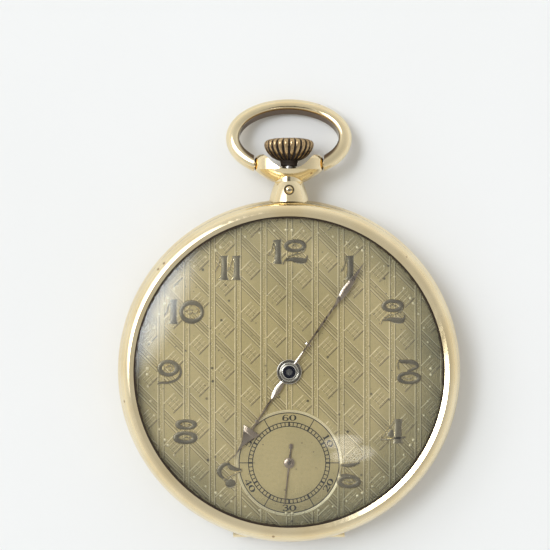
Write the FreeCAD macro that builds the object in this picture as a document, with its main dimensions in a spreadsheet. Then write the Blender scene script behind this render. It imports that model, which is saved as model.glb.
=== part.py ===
"""Open face pocket watch with sub-seconds, stem wind and a hinged back.

Frame: the watch lies face up on its back. The origin is on the dial's axis, in the plane that
the back rests on. +Z comes out of the dial, +Y points to 12 o'clock and the pendant, and +X
points to 3 o'clock. Lengths are in millimetres.
"""

import FreeCAD, Part
import math
import os

import Sketcher

DOC = FreeCAD.newDocument("PocketWatch")
SHEET = DOC.addObject("Spreadsheet::Sheet", "Dims")
NODES = {}

# The driving dimensions. A name that ends in _level is a height above the resting plane.
DIMENSIONS = {
    # case middle
    "band_edge_radius": 22.95,
    "band_top_radius": 23.08,
    "band_curve": 3.52,
    "band_bottom_level": 2.75,
    "band_top_level": 6.3,
    "case_bore_radius": 19.4,
    "plate_seat_radius": 19.85,
    "plate_seat_level": 5.4,
    "dial_recess_radius": 21.85,
    "dial_recess_level": 6.2,
    "snap_rim_radius": 22.45,
    "snap_rim_level": 6.95,
    "back_ledge_level": 3.3,
    "back_recess_radius": 21.95,
    # bezel and crystal
    "bezel_outer_radius": 23.02,
    "bezel_bore_radius": 22.52,
    "bezel_opening_radius": 21.05,
    "bezel_crest_radius": 21.62,
    "bezel_curve": 1.8,
    "bezel_bottom_level": 6.36,
    "bezel_under_level": 7.08,
    "groove_bottom_level": 7.25,
    "groove_top_level": 8.0,
    "groove_radius": 21.61,
    "bezel_lip_level": 8.2,
    "bezel_crest_level": 8.4,
    "crystal_edge_radius": 21.55,
    "crystal_dome_radius": 20.98,
    "crystal_flange_level": 7.3,
    "crystal_shoulder_level": 7.95,
    "crystal_foot_level": 8.25,
    "crystal_apex_level": 10.3,
    "hollow_radius": 20.5,
    "hollow_foot_level": 7.6,
    "hollow_apex_level": 9.3,
    # back cover, cuvette and their hinge
    "back_flat_radius": 16.0,
    "back_curve": 10.61,
    "back_thickness": 0.45,
    "back_edge_radius": 22.9,
    "back_edge_level": 2.55,
    "back_lip_level": 2.7,
    "snap_wall_outer": 21.85,
    "snap_wall_inner": 21.4,
    "snap_wall_foot_level": 2.005,
    "snap_wall_level": 3.2,
    "cuvette_bottom_level": 0.75,
    "cuvette_thickness": 0.25,
    "cuvette_outer_radius": 21.1,
    "cuvette_inner_radius": 20.8,
    "cuvette_outer_foot_level": 2.17,
    "cuvette_inner_foot_level": 2.285,
    "cuvette_rim_level": 3.1,
    "hinge_offset": 22.45,
    "hinge_level": 2.9,
    "hinge_half_length": 7.7,
    "hinge_outer_division": 4.6,
    "hinge_left_division": 1.65,
    "hinge_right_division": 0.96,
    "knuckle_radius": 0.75,
    "knuckle_clearance": 0.12,
    "knuckle_gap": 0.04,
    "hinge_pin_radius": 0.35,
    "hinge_bore_radius": 0.38,
    # pendant, crown and bow
    "stem_level": 4.4,
    "neck_base_radius": 2.78,
    "neck_top_radius": 1.9,
    "neck_curve": 12.0,
    "neck_base_offset": 22.0,
    "neck_foot_offset": 23.1,
    "neck_clear_radius": 23.1,
    "neck_top_offset": 25.9,
    "neck_end_offset": 26.7,
    "head_foot_radius": 1.75,
    "head_foot_offset": 25.75,
    "head_radius": 4.72,
    "head_low_offset": 27.56,
    "head_high_offset": 29.05,
    "head_top_offset": 29.66,
    "head_top_radius": 3.9,
    "head_under_curve": 9.0,
    "head_corner": 1.1,
    "head_flatness": 0.56,
    "bowl_top_radius": 3.72,
    "bowl_foot_radius": 1.75,
    "bowl_foot_offset": 26.75,
    "bowl_curve": 5.0,
    "sleeve_outer_radius": 0.95,
    "sleeve_inner_radius": 0.68,
    "sleeve_start_offset": 21.2,
    "sleeve_end_offset": 28.0,
    "stem_hole_radius": 0.95,
    "crown_foot_offset": 28.84,
    "crown_height": 2.98,
    "crown_waist_radius": 3.05,
    "crown_waist_rise": 0.85,
    "crown_widest_rise": 1.75,
    "crown_top_radius": 2.2,
    "crown_flank_curve": 3.2,
    "crown_shoulder_curve": 1.7,
    "crown_radius": 3.45,
    "crown_foot_radius": 1.3,
    "crown_ribs": 24,
    "crown_rib_depth": 0.24,
    "crown_rib_share": 0.62,
    "bow_half_width": 7.85,
    "bow_half_height": 5.02,
    "bow_inner_reach": 0.95,
    "bow_corner_reach": 0.84,
    "bow_crest_reach": 0.5,
    "bow_outer_reach": 0.86,
    "bow_half_thickness": 1.1,
    "bow_inner_flat": 0.75,
    "bow_end_offset": 4.8,
    "bow_pivot_offset": 28.3,
    "bow_pivot_radius": 0.5,
    "bow_pivot_length": 0.75,
    "bow_pivot_clearance": 0.05,
    "bow_pivot_root": 0.9,
    "bow_throat_reach": 3.0,
    "bow_droop": 20.4,
    "pendant_screw_radius": 0.55,
    "pendant_screw_recess": 0.72,
    "pendant_recess_level": 6.1,
    "pendant_screw_offset": 24.7,
    "pendant_screw_level": 6.4,
    "pendant_slot_level": 6.25,
    "pendant_slot_width": 0.16,
    # dial and hands
    "dial_radius": 21.6,
    "dial_bottom_level": 6.6,
    "dial_top_level": 7.0,
    "dial_hole_radius": 1.25,
    "seconds_recess_radius": 7.0,
    "seconds_recess_level": 6.88,
    "seconds_hole_radius": 0.35,
    "dial_foot_radius": 0.45,
    "dial_foot_offset": 17.2,
    "dial_foot_depth": 0.9,
    "minute_hand_level": 7.75,
    "hour_hand_level": 7.38,
    "seconds_hand_level": 7.04,
    "hand_thickness": 0.13,
    "hand_boss_rise": 0.05,
    "seconds_boss_rise": 0.1,
    "seconds_pivot_radius": 0.13,
    "minute_boss_radius": 1.27,
    "hour_boss_radius": 1.69,
    "seconds_boss_radius": 0.74,
    "minute_hand_angle": 34.5,
    "hour_hand_angle": 212.8,
    "seconds_hand_angle": 186.5,
    # frame of the movement
    "plate_radius": 19.3,
    "keyless_half_width": 2.15,
    "keyless_start": 13.7,
    "lever_notch_left": 1.3,
    "lever_notch_right": 5.6,
    "lever_notch_start": 16.4,
    "pin_slot_left": 0.4,
    "pin_slot_right": 0.7,
    "pin_slot_start": 17.9,
    "minute_recess_radius": 4.0,
    "setting_recess_radius": 3.4,
    "cannon_recess_radius": 1.7,
    "barrel_pivot_hole": 0.65,
    "wheel_post_radius": 0.33,
    "plate_flange_radius": 19.75,
    "plate_rim_radius": 18.5,
    "plate_bottom_level": 4.4,
    "plate_top_level": 5.85,
    "motion_floor_level": 5.3,
    "barrel_pocket_level": 5.08,
    "barrel_pocket_radius": 7.65,
    "bridge_radius": 18.6,
    "bridge_bottom_level": 1.55,
    "bridge_top_level": 2.45,
    "barrel_bridge_edge": 2.2,
    "train_bridge_edge": 1.9,
    "stem_corridor": 2.6,
    "crown_web_radius": 5.6,
    "crown_web_level": 2.95,
    "crown_recess_radius": 5.05,
    "crown_recess_level": 1.62,
    "crown_groove_outer": 5.0,
    "crown_groove_inner": 3.8,
    "crown_groove_level": 2.76,
    "barrel_room_radius": 7.7,
    "centre_room_radius": 7.25,
    "third_room_radius": 6.3,
    "fourth_room_radius": 5.5,
    "pinion_window_radius": 2.2,
    "clutch_room_radius": 1.75,
    "clutch_room_start": 13.5,
    "stem_room_start": 12.2,
    "stem_room_radius": 0.7,
    "barrel_arbor_room": 1.1,
    "crown_screw_radius": 0.4,
    "click_post_radius": 0.25,
    "lever_screw_radius": 0.3,
    "pallet_bridge_level": 3.5,
    "pallet_bridge_thickness": 0.3,
    "screw_head_radius": 0.95,
    "screw_head_height": 0.35,
    "screw_shank_radius": 0.45,
    "screw_top_level": 1.48,
    "screw_end_level": 5.2,
    "screw_slot": 0.22,
    "case_screw_offset": 18.9,
    "case_screw_level": 2.98,
    "jewel_radius": 0.75,
    "jewel_thickness": 0.35,
    # wheels: teeth, modules and levels
    "centre_teeth": 80,
    "centre_leaves": 12,
    "third_teeth": 75,
    "third_leaves": 10,
    "fourth_teeth": 80,
    "fourth_leaves": 10,
    "escape_teeth": 15,
    "escape_leaves": 8,
    "barrel_teeth": 72,
    "barrel_module": 0.2,
    "centre_module": 0.17,
    "third_module": 0.155,
    "fourth_module": 0.125,
    "wheel_thickness": 0.16,
    "centre_wheel_level": 2.65,
    "third_wheel_level": 3.2,
    "fourth_wheel_level": 3.6,
    "escape_wheel_level": 4.0,
    "escape_radius": 3.2,
    "seconds_offset": 12.35,
    "barrel_bottom_level": 3.1,
    "barrel_top_level": 5.0,
    "barrel_wall_radius": 6.85,
    "barrel_wall_inner": 6.4,
    "barrel_rim_level": 3.6,
    "barrel_floor_level": 3.4,
    "barrel_cover_level": 4.72,
    "barrel_cover_thickness": 0.23,
    "arbor_core_radius": 1.6,
    "mainspring_thickness": 0.17,
    "winding_module": 0.25,
    "winding_leaves": 15,
    "crown_wheel_teeth": 36,
    "ratchet_teeth": 52,
    "ratchet_level": 1.22,
    "ratchet_thickness": 0.26,
    "crown_wheel_offset": 13.0,
    # escapement
    "balance_x": 8.4,
    "balance_y": -9.6,
    "lever_to_escape": 3.7,
    "lever_to_balance": 4.3,
    "balance_rim_radius": 5.0,
    "balance_rim_inner": 4.45,
    "balance_screw_tip": 5.4,
    "balance_bottom_level": 2.95,
    "balance_top_level": 3.35,
    "impulse_radius": 0.95,
    "hairspring_level": 2.52,
    "hairspring_height": 0.2,
    "hairspring_thickness": 0.06,
    "hairspring_radius": 3.1,
    "hairspring_turns": 9,
    # motion works and keyless works
    "cannon_leaves": 12,
    "minute_wheel_teeth": 36,
    "minute_wheel_leaves": 10,
    "hour_wheel_teeth": 40,
    "setting_wheel_teeth": 30,
    "motion_module": 0.2,
    "hour_module": 0.192,
    "motion_wheel_level": 5.42,
    "hour_wheel_level": 6.02,
    "cannon_radius": 0.72,
    "cannon_bore": 0.46,
    "cannon_top_level": 8.2,
    "centre_arbor_radius": 0.42,
    "hour_pipe_bore": 0.78,
    "hour_pipe_radius": 1.1,
    "minute_wheel_angle": 115.0,
    "motion_wheel_bore": 0.36,
    "clutch_radius": 1.55,
    "clutch_groove_radius": 0.95,
    "clutch_start": 15.0,
    "clutch_length": 1.7,
    "pinion_start": 16.95,
    "pinion_length": 0.9,
    "stem_radius": 0.6,
    "stem_square": 0.86,
    "lever_level": 6.06,
    "lever_thickness": 0.16,
}

for row, (alias, number) in enumerate(DIMENSIONS.items(), start=1):
    SHEET.set("A%d" % row, alias)
    SHEET.set("B%d" % row, str(number))
    SHEET.setAlias("B%d" % row, alias)
DOC.recompute()


# Sizes are written as sums of cell names and numbers, such as "plate_radius - wall". The first
# function gives the size as a number, and the second the same size as an expression on the sheet.
def size(words):
    total = 0.0
    sign = 1.0
    for word in str(words).split():
        if word in ("+", "-"):
            sign = 1.0 if word == "+" else -1.0
            continue
        total += sign * float(SHEET.get(word) if word in DIMENSIONS else word)
    return total


def linked(words):
    return " ".join("Dims." + word if word in DIMENSIONS else word for word in str(words).split())


def difference(upper, lower):
    """The expression for upper less lower, each a sum of cells."""
    return "(%s) - (%s)" % (linked(upper), linked(lower))


def node(label, thing):
    """Name a finished sub-part, so that it is checked and exported."""
    thing.Label = label
    NODES[label] = thing
    return thing


def feature(name, shape, at=(0.0, 0.0, 0.0)):
    """A shape made with Part's functions, placed at a point."""
    thing = DOC.addObject("Part::Feature", name)
    thing.Shape = shape
    thing.Placement = FreeCAD.Placement(FreeCAD.Vector(*at), FreeCAD.Rotation()) * shape.Placement
    return thing


def bind_place(thing, x, y, z):
    for axis, words in (("x", x), ("y", y), ("z", z)):
        thing.setExpression(".Placement.Base." + axis, linked(words))


def cylinder(name, radius, bottom, top, x="0", y="0"):
    """An upright cylinder between two levels."""
    thing = DOC.addObject("Part::Cylinder", name)
    thing.setExpression("Radius", linked(radius))
    thing.setExpression("Height", difference(top, bottom))
    bind_place(thing, x, y, bottom)
    return thing


def bar(name, radius, start, end, y, z):
    """A cylinder along X from start to end."""
    thing = DOC.addObject("Part::Cylinder", name)
    thing.Placement.Rotation = FreeCAD.Rotation(FreeCAD.Vector(0, 1, 0), 90)
    thing.setExpression("Radius", linked(radius))
    thing.setExpression("Height", difference(end, start))
    bind_place(thing, start, y, z)
    return thing


def rod(name, radius, start, end, z, x="0"):
    """A cylinder along Y from start to end."""
    thing = DOC.addObject("Part::Cylinder", name)
    thing.Placement.Rotation = FreeCAD.Rotation(FreeCAD.Vector(1, 0, 0), -90)
    thing.setExpression("Radius", linked(radius))
    thing.setExpression("Height", difference(end, start))
    bind_place(thing, x, start, z)
    return thing


def block(name, low, high):
    """A box between two corners, each corner three sums of cells."""
    thing = DOC.addObject("Part::Box", name)
    for side, start, end in zip(("Length", "Width", "Height"), low, high):
        thing.setExpression(side, difference(end, start))
    bind_place(thing, *low)
    return thing


def fused(name, *things):
    thing = DOC.addObject("Part::MultiFuse", name)
    thing.Shapes = list(things)
    thing.Refine = False
    return thing


def common(name, *things):
    thing = DOC.addObject("Part::MultiCommon", name)
    thing.Shapes = list(things)
    thing.Refine = False
    return thing


def cut(name, base, *tools):
    """Take each tool away from the base in turn."""
    for number, tool in enumerate(tools):
        thing = DOC.addObject("Part::Cut", "%s_%d" % (name, number))
        thing.Base = base
        thing.Tool = tool
        thing.Refine = False
        base = thing
    return base


def arc_points(start, end, radius, side):
    """Three points on the arc of a radius from start to end, bulging to its left (1) or right (-1)."""
    chord = end - start
    half = chord.Length / 2
    rise = radius - math.sqrt(radius * radius - half * half)
    left = FreeCAD.Vector(-chord.y, chord.x, 0).normalize()
    return start, (start + end) / 2 + left * (side * rise), end


def turned(name, outline, arcs=None, place=None):
    """A body turned about its Z axis. The outline's points are (radius, level) in cells. arcs gives,
    for the side that starts at a point, (radius in cells, which way it bulges)."""
    body = DOC.addObject("PartDesign::Body", name)
    sketch = body.newObject("Sketcher::SketchObject", name + "_profile")
    plane = [f for f in body.Origin.OriginFeatures if f.Role == "XZ_Plane"][0]
    sketch.AttachmentSupport = [(plane, "")]
    sketch.MapMode = "FlatFace"
    arcs = arcs or {}
    points = [FreeCAD.Vector(size(r), size(z), 0) for r, z in outline]
    ends = []
    for i, start in enumerate(points):
        end = points[(i + 1) % len(points)]
        if i in arcs:
            radius, side = arcs[i]
            edge = sketch.addGeometry(Part.Arc(*arc_points(start, end, size(radius), side)), False)
            first = 1 if (sketch.getPoint(edge, 1) - start).Length < 1e-6 else 2
            ends.append((edge, first, 3 - first))
        else:
            edge = sketch.addGeometry(Part.LineSegment(start, end), False)
            ends.append((edge, 1, 2))
    for i, (edge, first, last) in enumerate(ends):
        after = ends[(i + 1) % len(ends)]
        sketch.addConstraint(Sketcher.Constraint("Coincident", edge, last, after[0], after[1]))
    for (edge, first, last), (r, z), point in zip(ends, outline, points):
        for kind, words, value, axis in (("DistanceX", r, point.x, -2), ("DistanceY", z, point.y, -1)):
            if abs(value) < 1e-9:
                sketch.addConstraint(Sketcher.Constraint("PointOnObject", edge, first, axis))
                continue
            number = sketch.addConstraint(Sketcher.Constraint(kind, -1, 1, edge, first, value))
            sketch.setExpression("Constraints[%d]" % number, linked(words))
    for i, (radius, side) in arcs.items():
        number = sketch.addConstraint(Sketcher.Constraint("Radius", ends[i][0], size(radius)))
        sketch.setExpression("Constraints[%d]" % number, linked(radius))
    revolution = body.newObject("PartDesign::Revolution", name + "_turn")
    revolution.Profile = sketch
    revolution.ReferenceAxis = (sketch, ["V_Axis"])
    revolution.Angle = 360
    sketch.Visibility = False
    if place is not None:
        body.Placement = place
    return body


def along_stem(start="0"):
    """The placement that turns a lathe profile's Z into the stem's direction, +Y."""
    turn = FreeCAD.Rotation(FreeCAD.Vector(1, 0, 0), -90)
    return FreeCAD.Placement(FreeCAD.Vector(0, size(start), size("stem_level")), turn)


def polar(radius, degrees):
    angle = math.radians(degrees)
    return FreeCAD.Vector(radius * math.cos(angle), radius * math.sin(angle), 0)


def meeting(a, b, from_a, from_b, side):
    """The point at given distances from two points, to the left (1) or right (-1) of the way a to b."""
    way = b - a
    reach = (from_a**2 - from_b**2 + way.Length**2) / (2 * way.Length)
    height = math.sqrt(from_a**2 - reach**2)
    along = way / way.Length
    return a + along * reach + FreeCAD.Vector(-along.y, along.x, 0) * (side * height)


# Where the arbors stand, worked out from the tooth counts and modules.
def distance(teeth, leaves, module):
    return size(module) * (size(teeth) + size(leaves)) / 2


CENTRE = FreeCAD.Vector(0, 0, 0)
FOURTH = FreeCAD.Vector(0, -size("seconds_offset"), 0)
THIRD = meeting(
    CENTRE,
    FOURTH,
    distance("centre_teeth", "third_leaves", "centre_module"),
    distance("third_teeth", "fourth_leaves", "third_module"),
    -1,
)
CROWN_WHEEL = FreeCAD.Vector(0, size("crown_wheel_offset"), 0)
BARREL = meeting(
    CENTRE,
    CROWN_WHEEL,
    distance("barrel_teeth", "centre_leaves", "barrel_module"),
    distance("crown_wheel_teeth", "ratchet_teeth", "winding_module"),
    -1,
)
BALANCE = FreeCAD.Vector(size("balance_x"), size("balance_y"), 0)
ESCAPE = meeting(
    FOURTH,
    BALANCE,
    distance("fourth_teeth", "escape_leaves", "fourth_module"),
    math.hypot(size("lever_to_escape"), size("lever_to_balance")),
    -1,
)
LEVER = meeting(ESCAPE, BALANCE, size("lever_to_escape"), size("lever_to_balance"), -1)
MINUTE_REACH = distance("cannon_leaves", "minute_wheel_teeth", "motion_module")
MINUTE_WHEEL = polar(MINUTE_REACH, size("minute_wheel_angle"))
SETTING_REACH = distance("minute_wheel_teeth", "setting_wheel_teeth", "motion_module")
SETTING_WHEEL = MINUTE_WHEEL + FreeCAD.Vector(
    -MINUTE_WHEEL.x, math.sqrt(SETTING_REACH**2 - MINUTE_WHEEL.x**2), 0
)
COCK_FOOT = FreeCAD.Vector(15.3, -2.4, 0)
LEVER_FOOT = FreeCAD.Vector(12.0, -12.3, 0)


def bearing(a, b):
    """The direction from one arbor to another, in radians."""
    return math.atan2(b.y - a.y, b.x - a.x)


def meshed(a, b, teeth_a, phase_a, teeth_b):
    """The angle of a tooth of wheel b that is in mesh with wheel a, whose tooth stands at phase_a."""
    way = bearing(a, b)
    ratio = size(teeth_a) / size(teeth_b)
    return way + math.pi - (phase_a - way) * ratio - math.pi / size(teeth_b)


# Flat shapes for wheels, levers and hands.
def face_of(points):
    vectors = [FreeCAD.Vector(x, y, 0) for x, y in points]
    return Part.Face(Part.makePolygon(vectors + vectors[:1]))


def raised(outline, bottom, thickness):
    """The solid that stands on a flat outline, which may be several faces that meet."""
    solids = [face.extrude(FreeCAD.Vector(0, 0, size(thickness))) for face in outline.Faces]
    solid = solids[0].multiFuse(solids[1:]).removeSplitter() if len(solids) > 1 else solids[0]
    solid.translate(FreeCAD.Vector(0, 0, size(bottom)))
    return solid


def disc(radius, x=0.0, y=0.0):
    return Part.Face(Part.Wire(Part.makeCircle(radius, FreeCAD.Vector(x, y, 0))))


def toothed(teeth, module, phase, addendum=0.85, dedendum=1.15):
    """A wheel's outline with a tooth centred on phase. The teeth taper and leave backlash."""
    pitch = 2 * math.pi / teeth
    radius = module * teeth / 2
    tip = radius + addendum * module
    root = radius - dedendum * module
    shape = ((root, -0.29), (radius, -0.2), (tip, -0.08), (tip, 0.08), (radius, 0.2), (root, 0.29))
    points = []
    for number in range(teeth):
        for reach, share in shape:
            angle = phase + (number + share) * pitch
            points.append((reach * math.cos(angle), reach * math.sin(angle)))
    return face_of(points)


def crossing(inner, outer, start, end, half_spoke):
    """One window between two spokes: arcs at the hub and rim, sides parallel to the spokes."""
    def corner(radius, angle, side):
        swing = math.asin(half_spoke / radius)
        return polar(radius, math.degrees(angle + side * swing))

    middle = (start + end) / 2
    a, b = corner(inner, start, 1), corner(outer, start, 1)
    c, d = corner(outer, end, -1), corner(inner, end, -1)
    edges = [
        Part.LineSegment(a, b).toShape(),
        Part.Arc(b, polar(outer, math.degrees(middle)), c).toShape(),
        Part.LineSegment(c, d).toShape(),
        Part.Arc(d, polar(inner, math.degrees(middle)), a).toShape(),
    ]
    return Part.Face(Part.Wire(edges))


def crossed_wheel(face, hub, rim, bore, spokes, half_spoke, turn=0.0):
    """Cut the windows and the bore out of a wheel's face."""
    tools = [disc(bore)] if bore else []
    for number in range(spokes):
        start = turn + 2 * math.pi * number / spokes
        tools.append(crossing(hub, rim, start, start + 2 * math.pi / spokes, half_spoke))
    return face.cut(Part.makeCompound(tools))


def stack(*steps):
    """Coaxial cylinders fused into one turned piece: (radius, bottom, top) in cells."""
    solids = []
    for radius, bottom, top in steps:
        height = size(top) - size(bottom)
        solids.append(Part.makeCylinder(size(radius), height, FreeCAD.Vector(0, 0, size(bottom))))
    return solids[0].multiFuse(solids[1:]).removeSplitter() if len(solids) > 1 else solids[0]


def spiral(inner, outer, turns, thickness, start=0.0):
    """A flat coiled strip between two radii."""
    def side(offset):
        points = []
        steps = int(turns * 16)
        for step in range(steps + 1):
            share = step / steps
            angle = start + 2 * math.pi * turns * share
            radius = inner + (outer - inner) * share + offset
            points.append(FreeCAD.Vector(radius * math.cos(angle), radius * math.sin(angle), 0))
        curve = Part.BSplineCurve()
        curve.interpolate(points)
        return curve, points

    (near, near_points), (far, far_points) = side(-thickness / 2), side(thickness / 2)
    edges = [
        near.toShape(),
        Part.LineSegment(near_points[-1], far_points[-1]).toShape(),
        far.toShape(),
        Part.LineSegment(far_points[0], near_points[0]).toShape(),
    ]
    return Part.Face(Part.Wire(Part.__sortEdges__(edges)))


def capsule(a, b, width_a, width_b):
    """A link between two round ends of given radii."""
    way = b - a
    left = FreeCAD.Vector(-way.y, way.x, 0) / way.Length
    corners = [a + left * width_a, b + left * width_b, b - left * width_b, a - left * width_a]
    body = face_of([(p.x, p.y) for p in corners])
    return body.fuse([disc(width_a, a.x, a.y), disc(width_b, b.x, b.y)]).removeSplitter()


def mirrored_outline(profile):
    """A shape symmetric about +Y from (distance along it, half width) pairs."""
    right = [(half, along) for along, half in profile]
    return right + [(-x, y) for x, y in reversed(right)]


# Case ---------------------------------------------------------------------------------------------
case_ring = turned(
    "case_ring",
    [
        ("case_bore_radius", "back_ledge_level"),
        ("back_recess_radius", "back_ledge_level"),
        ("back_recess_radius", "band_bottom_level"),
        ("band_edge_radius", "band_bottom_level"),
        ("band_top_radius", "band_top_level"),
        ("snap_rim_radius", "band_top_level"),
        ("snap_rim_radius", "snap_rim_level"),
        ("dial_recess_radius", "snap_rim_level"),
        ("dial_recess_radius", "dial_recess_level"),
        ("plate_seat_radius", "dial_recess_level"),
        ("plate_seat_radius", "plate_seat_level"),
        ("case_bore_radius", "plate_seat_level"),
    ],
    arcs={3: ("band_curve", -1)},
)


def knuckle(name, start, end, radius="knuckle_radius"):
    return bar(name, radius, start, end, "- hinge_offset", "hinge_level")


hinge_bore = knuckle("hinge_bore", "- hinge_half_length - 1", "hinge_half_length + 1", "hinge_bore_radius")
hinge_notch = block(
    "hinge_notch",
    ("- hinge_half_length - knuckle_gap", "- case_bore_radius - 6", "2"),
    ("hinge_half_length + knuckle_gap", "- hinge_offset", "stem_level + 0.5"),
)
moving_clearance = knuckle(
    "moving_clearance", "- hinge_outer_division", "hinge_outer_division", "knuckle_radius + knuckle_clearance"
)
case_knuckles = fused(
    "case_knuckles",
    knuckle("left_case_knuckle", "- hinge_half_length", "- hinge_outer_division - knuckle_gap"),
    knuckle("right_case_knuckle", "hinge_outer_division + knuckle_gap", "hinge_half_length"),
)
case_body = fused("case_body", cut("case_notched", case_ring, hinge_notch, moving_clearance), case_knuckles)
stem_hole = rod("stem_hole", "stem_hole_radius", "case_bore_radius - 1", "case_bore_radius + 6", "stem_level")
node("case_middle", cut("case_middle_cut", case_body, hinge_bore, stem_hole))
node(
    "hinge_pin",
    knuckle("pin_rod", "- hinge_half_length + 0.1", "hinge_half_length - 0.1", "hinge_pin_radius"),
)

node(
    "bezel",
    turned(
        "bezel_ring",
        [
            ("bezel_bore_radius", "bezel_bottom_level"),
            ("bezel_outer_radius", "bezel_bottom_level"),
            ("bezel_crest_radius", "bezel_crest_level"),
            ("bezel_opening_radius", "bezel_lip_level"),
            ("bezel_opening_radius", "groove_top_level"),
            ("groove_radius", "groove_top_level"),
            ("groove_radius", "groove_bottom_level"),
            ("bezel_opening_radius", "groove_bottom_level"),
            ("bezel_opening_radius", "bezel_under_level"),
            ("bezel_bore_radius", "bezel_under_level"),
        ],
        arcs={1: ("bezel_curve", -1)},
    ),
)


def sphere_radius(edge, rise):
    """The radius of the dome that rises so far over an edge radius."""
    return "%.6f" % ((edge * edge + rise * rise) / (2 * rise))


dome_rise = size("crystal_apex_level - crystal_foot_level")
hollow_rise = size("hollow_apex_level - hollow_foot_level")
node(
    "crystal",
    turned(
        "crystal_glass",
        [
            ("0", "hollow_apex_level"),
            ("hollow_radius", "hollow_foot_level"),
            ("hollow_radius", "crystal_flange_level"),
            ("crystal_edge_radius", "crystal_flange_level"),
            ("crystal_edge_radius", "crystal_shoulder_level"),
            ("crystal_dome_radius", "crystal_shoulder_level"),
            ("crystal_dome_radius", "crystal_foot_level"),
            ("0", "crystal_apex_level"),
        ],
        arcs={
            0: (sphere_radius(size("hollow_radius"), hollow_rise), 1),
            6: (sphere_radius(size("crystal_dome_radius"), dome_rise), -1),
        },
    ),
)

back_shell = turned(
    "back_shell",
    [
        ("0", "0"),
        ("back_flat_radius", "0"),
        ("back_edge_radius", "back_edge_level"),
        ("back_edge_radius", "back_lip_level"),
        ("snap_wall_outer", "back_lip_level"),
        ("snap_wall_outer", "snap_wall_level"),
        ("snap_wall_inner", "snap_wall_level"),
        ("snap_wall_inner", "snap_wall_foot_level"),
        ("back_flat_radius", "back_thickness"),
        ("0", "back_thickness"),
    ],
    arcs={1: ("back_curve", -1), 7: ("back_curve - back_thickness", 1)},
)
wall_gap = block(
    "wall_gap",
    ("- hinge_half_length - 0.2", "- back_recess_radius", "snap_wall_foot_level + 0.02"),
    ("hinge_half_length + 0.2", "- snap_wall_inner + 2", "snap_wall_level + 0.1"),
)
fixed_clearance = [
    knuckle(name, start, end, "knuckle_radius + knuckle_clearance")
    for name, start, end in (
        ("left_clearance", "- hinge_half_length - 0.1", "- hinge_outer_division"),
        ("middle_clearance", "- hinge_left_division", "hinge_right_division"),
        ("right_clearance", "hinge_outer_division", "hinge_half_length + 0.1"),
    )
]
back_knuckles = fused(
    "back_knuckles",
    knuckle(
        "left_back_knuckle", "- hinge_outer_division + knuckle_gap", "- hinge_left_division - knuckle_gap"
    ),
    knuckle("right_back_knuckle", "hinge_right_division + knuckle_gap", "hinge_outer_division - knuckle_gap"),
)
back_body = fused("back_body", cut("back_trimmed", back_shell, wall_gap, *fixed_clearance), back_knuckles)
back_pin_bore = knuckle(
    "back_pin_bore", "- hinge_outer_division", "hinge_outer_division", "hinge_bore_radius"
)
node("back_cover", cut("back_cover_cut", back_body, back_pin_bore))

cuvette_shell = turned(
    "cuvette_shell",
    [
        ("0", "cuvette_bottom_level"),
        ("back_flat_radius", "cuvette_bottom_level"),
        ("cuvette_outer_radius", "cuvette_outer_foot_level"),
        ("cuvette_outer_radius", "cuvette_rim_level"),
        ("cuvette_inner_radius", "cuvette_rim_level"),
        ("cuvette_inner_radius", "cuvette_inner_foot_level"),
        ("back_flat_radius", "cuvette_bottom_level + cuvette_thickness"),
        ("0", "cuvette_bottom_level + cuvette_thickness"),
    ],
    arcs={
        1: ("back_curve - cuvette_bottom_level", -1),
        5: ("back_curve - cuvette_bottom_level - cuvette_thickness", 1),
    },
)
cuvette_arm = block(
    "cuvette_arm",
    ("- hinge_left_division + knuckle_gap", "- hinge_offset", "hinge_level - 0.4"),
    ("hinge_right_division - knuckle_gap", "- cuvette_inner_radius + 0.05", "hinge_level + 0.1"),
)
cuvette_knuckle = knuckle(
    "cuvette_knuckle", "- hinge_left_division + knuckle_gap", "hinge_right_division - knuckle_gap"
)
cuvette_bore = knuckle("cuvette_bore", "- hinge_left_division", "hinge_right_division", "hinge_bore_radius")
cuvette_body = fused("cuvette_body", cuvette_shell, cuvette_arm, cuvette_knuckle)
node("cuvette", cut("cuvette_cut", cuvette_body, cuvette_bore))


# Pendant, crown and bow ---------------------------------------------------------------------------
pendant_neck = turned(
    "pendant_neck",
    [
        ("0", "neck_base_offset"),
        ("neck_base_radius", "neck_base_offset"),
        ("neck_base_radius", "neck_foot_offset"),
        ("neck_top_radius", "neck_top_offset"),
        ("neck_top_radius", "neck_end_offset"),
        ("0", "neck_end_offset"),
    ],
    arcs={2: ("neck_curve", -1)},
    place=along_stem(),
)
head_round = turned(
    "head_round",
    [
        ("0", "head_foot_offset"),
        ("head_foot_radius", "head_foot_offset"),
        ("head_radius", "head_low_offset"),
        ("head_radius", "head_high_offset"),
        ("head_top_radius", "head_top_offset"),
        ("0", "head_top_offset"),
    ],
    arcs={1: ("head_under_curve", -1), 3: ("head_corner", -1)},
)
bowl_tool = turned(
    "bowl_tool",
    [
        ("0", "bowl_foot_offset"),
        ("bowl_foot_radius", "bowl_foot_offset"),
        ("bowl_top_radius", "head_top_offset"),
        ("bowl_top_radius", "head_top_offset + 1"),
        ("0", "head_top_offset + 1"),
    ],
    arcs={1: ("bowl_curve", -1)},
    place=along_stem(),
)
DOC.recompute()
flatten = FreeCAD.Matrix()
flatten.A22 = size("head_flatness")
head_flat = DOC.addObject("Part::Feature", "head_flat")
head_flat.Shape = head_round.Shape.transformGeometry(flatten)
head_flat.Placement = along_stem()
case_clear = cylinder("case_clear", "neck_clear_radius", "0", "dial_top_level + 3")
sleeve_hole = rod(
    "sleeve_hole", "sleeve_outer_radius", "neck_base_offset - 1", "head_top_offset + 1", "stem_level"
)
bow_holes = bar(
    "bow_holes",
    "bow_pivot_radius + bow_pivot_clearance",
    "- head_radius - 1",
    "head_radius + 1",
    "bow_pivot_offset",
    "stem_level",
)
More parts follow.
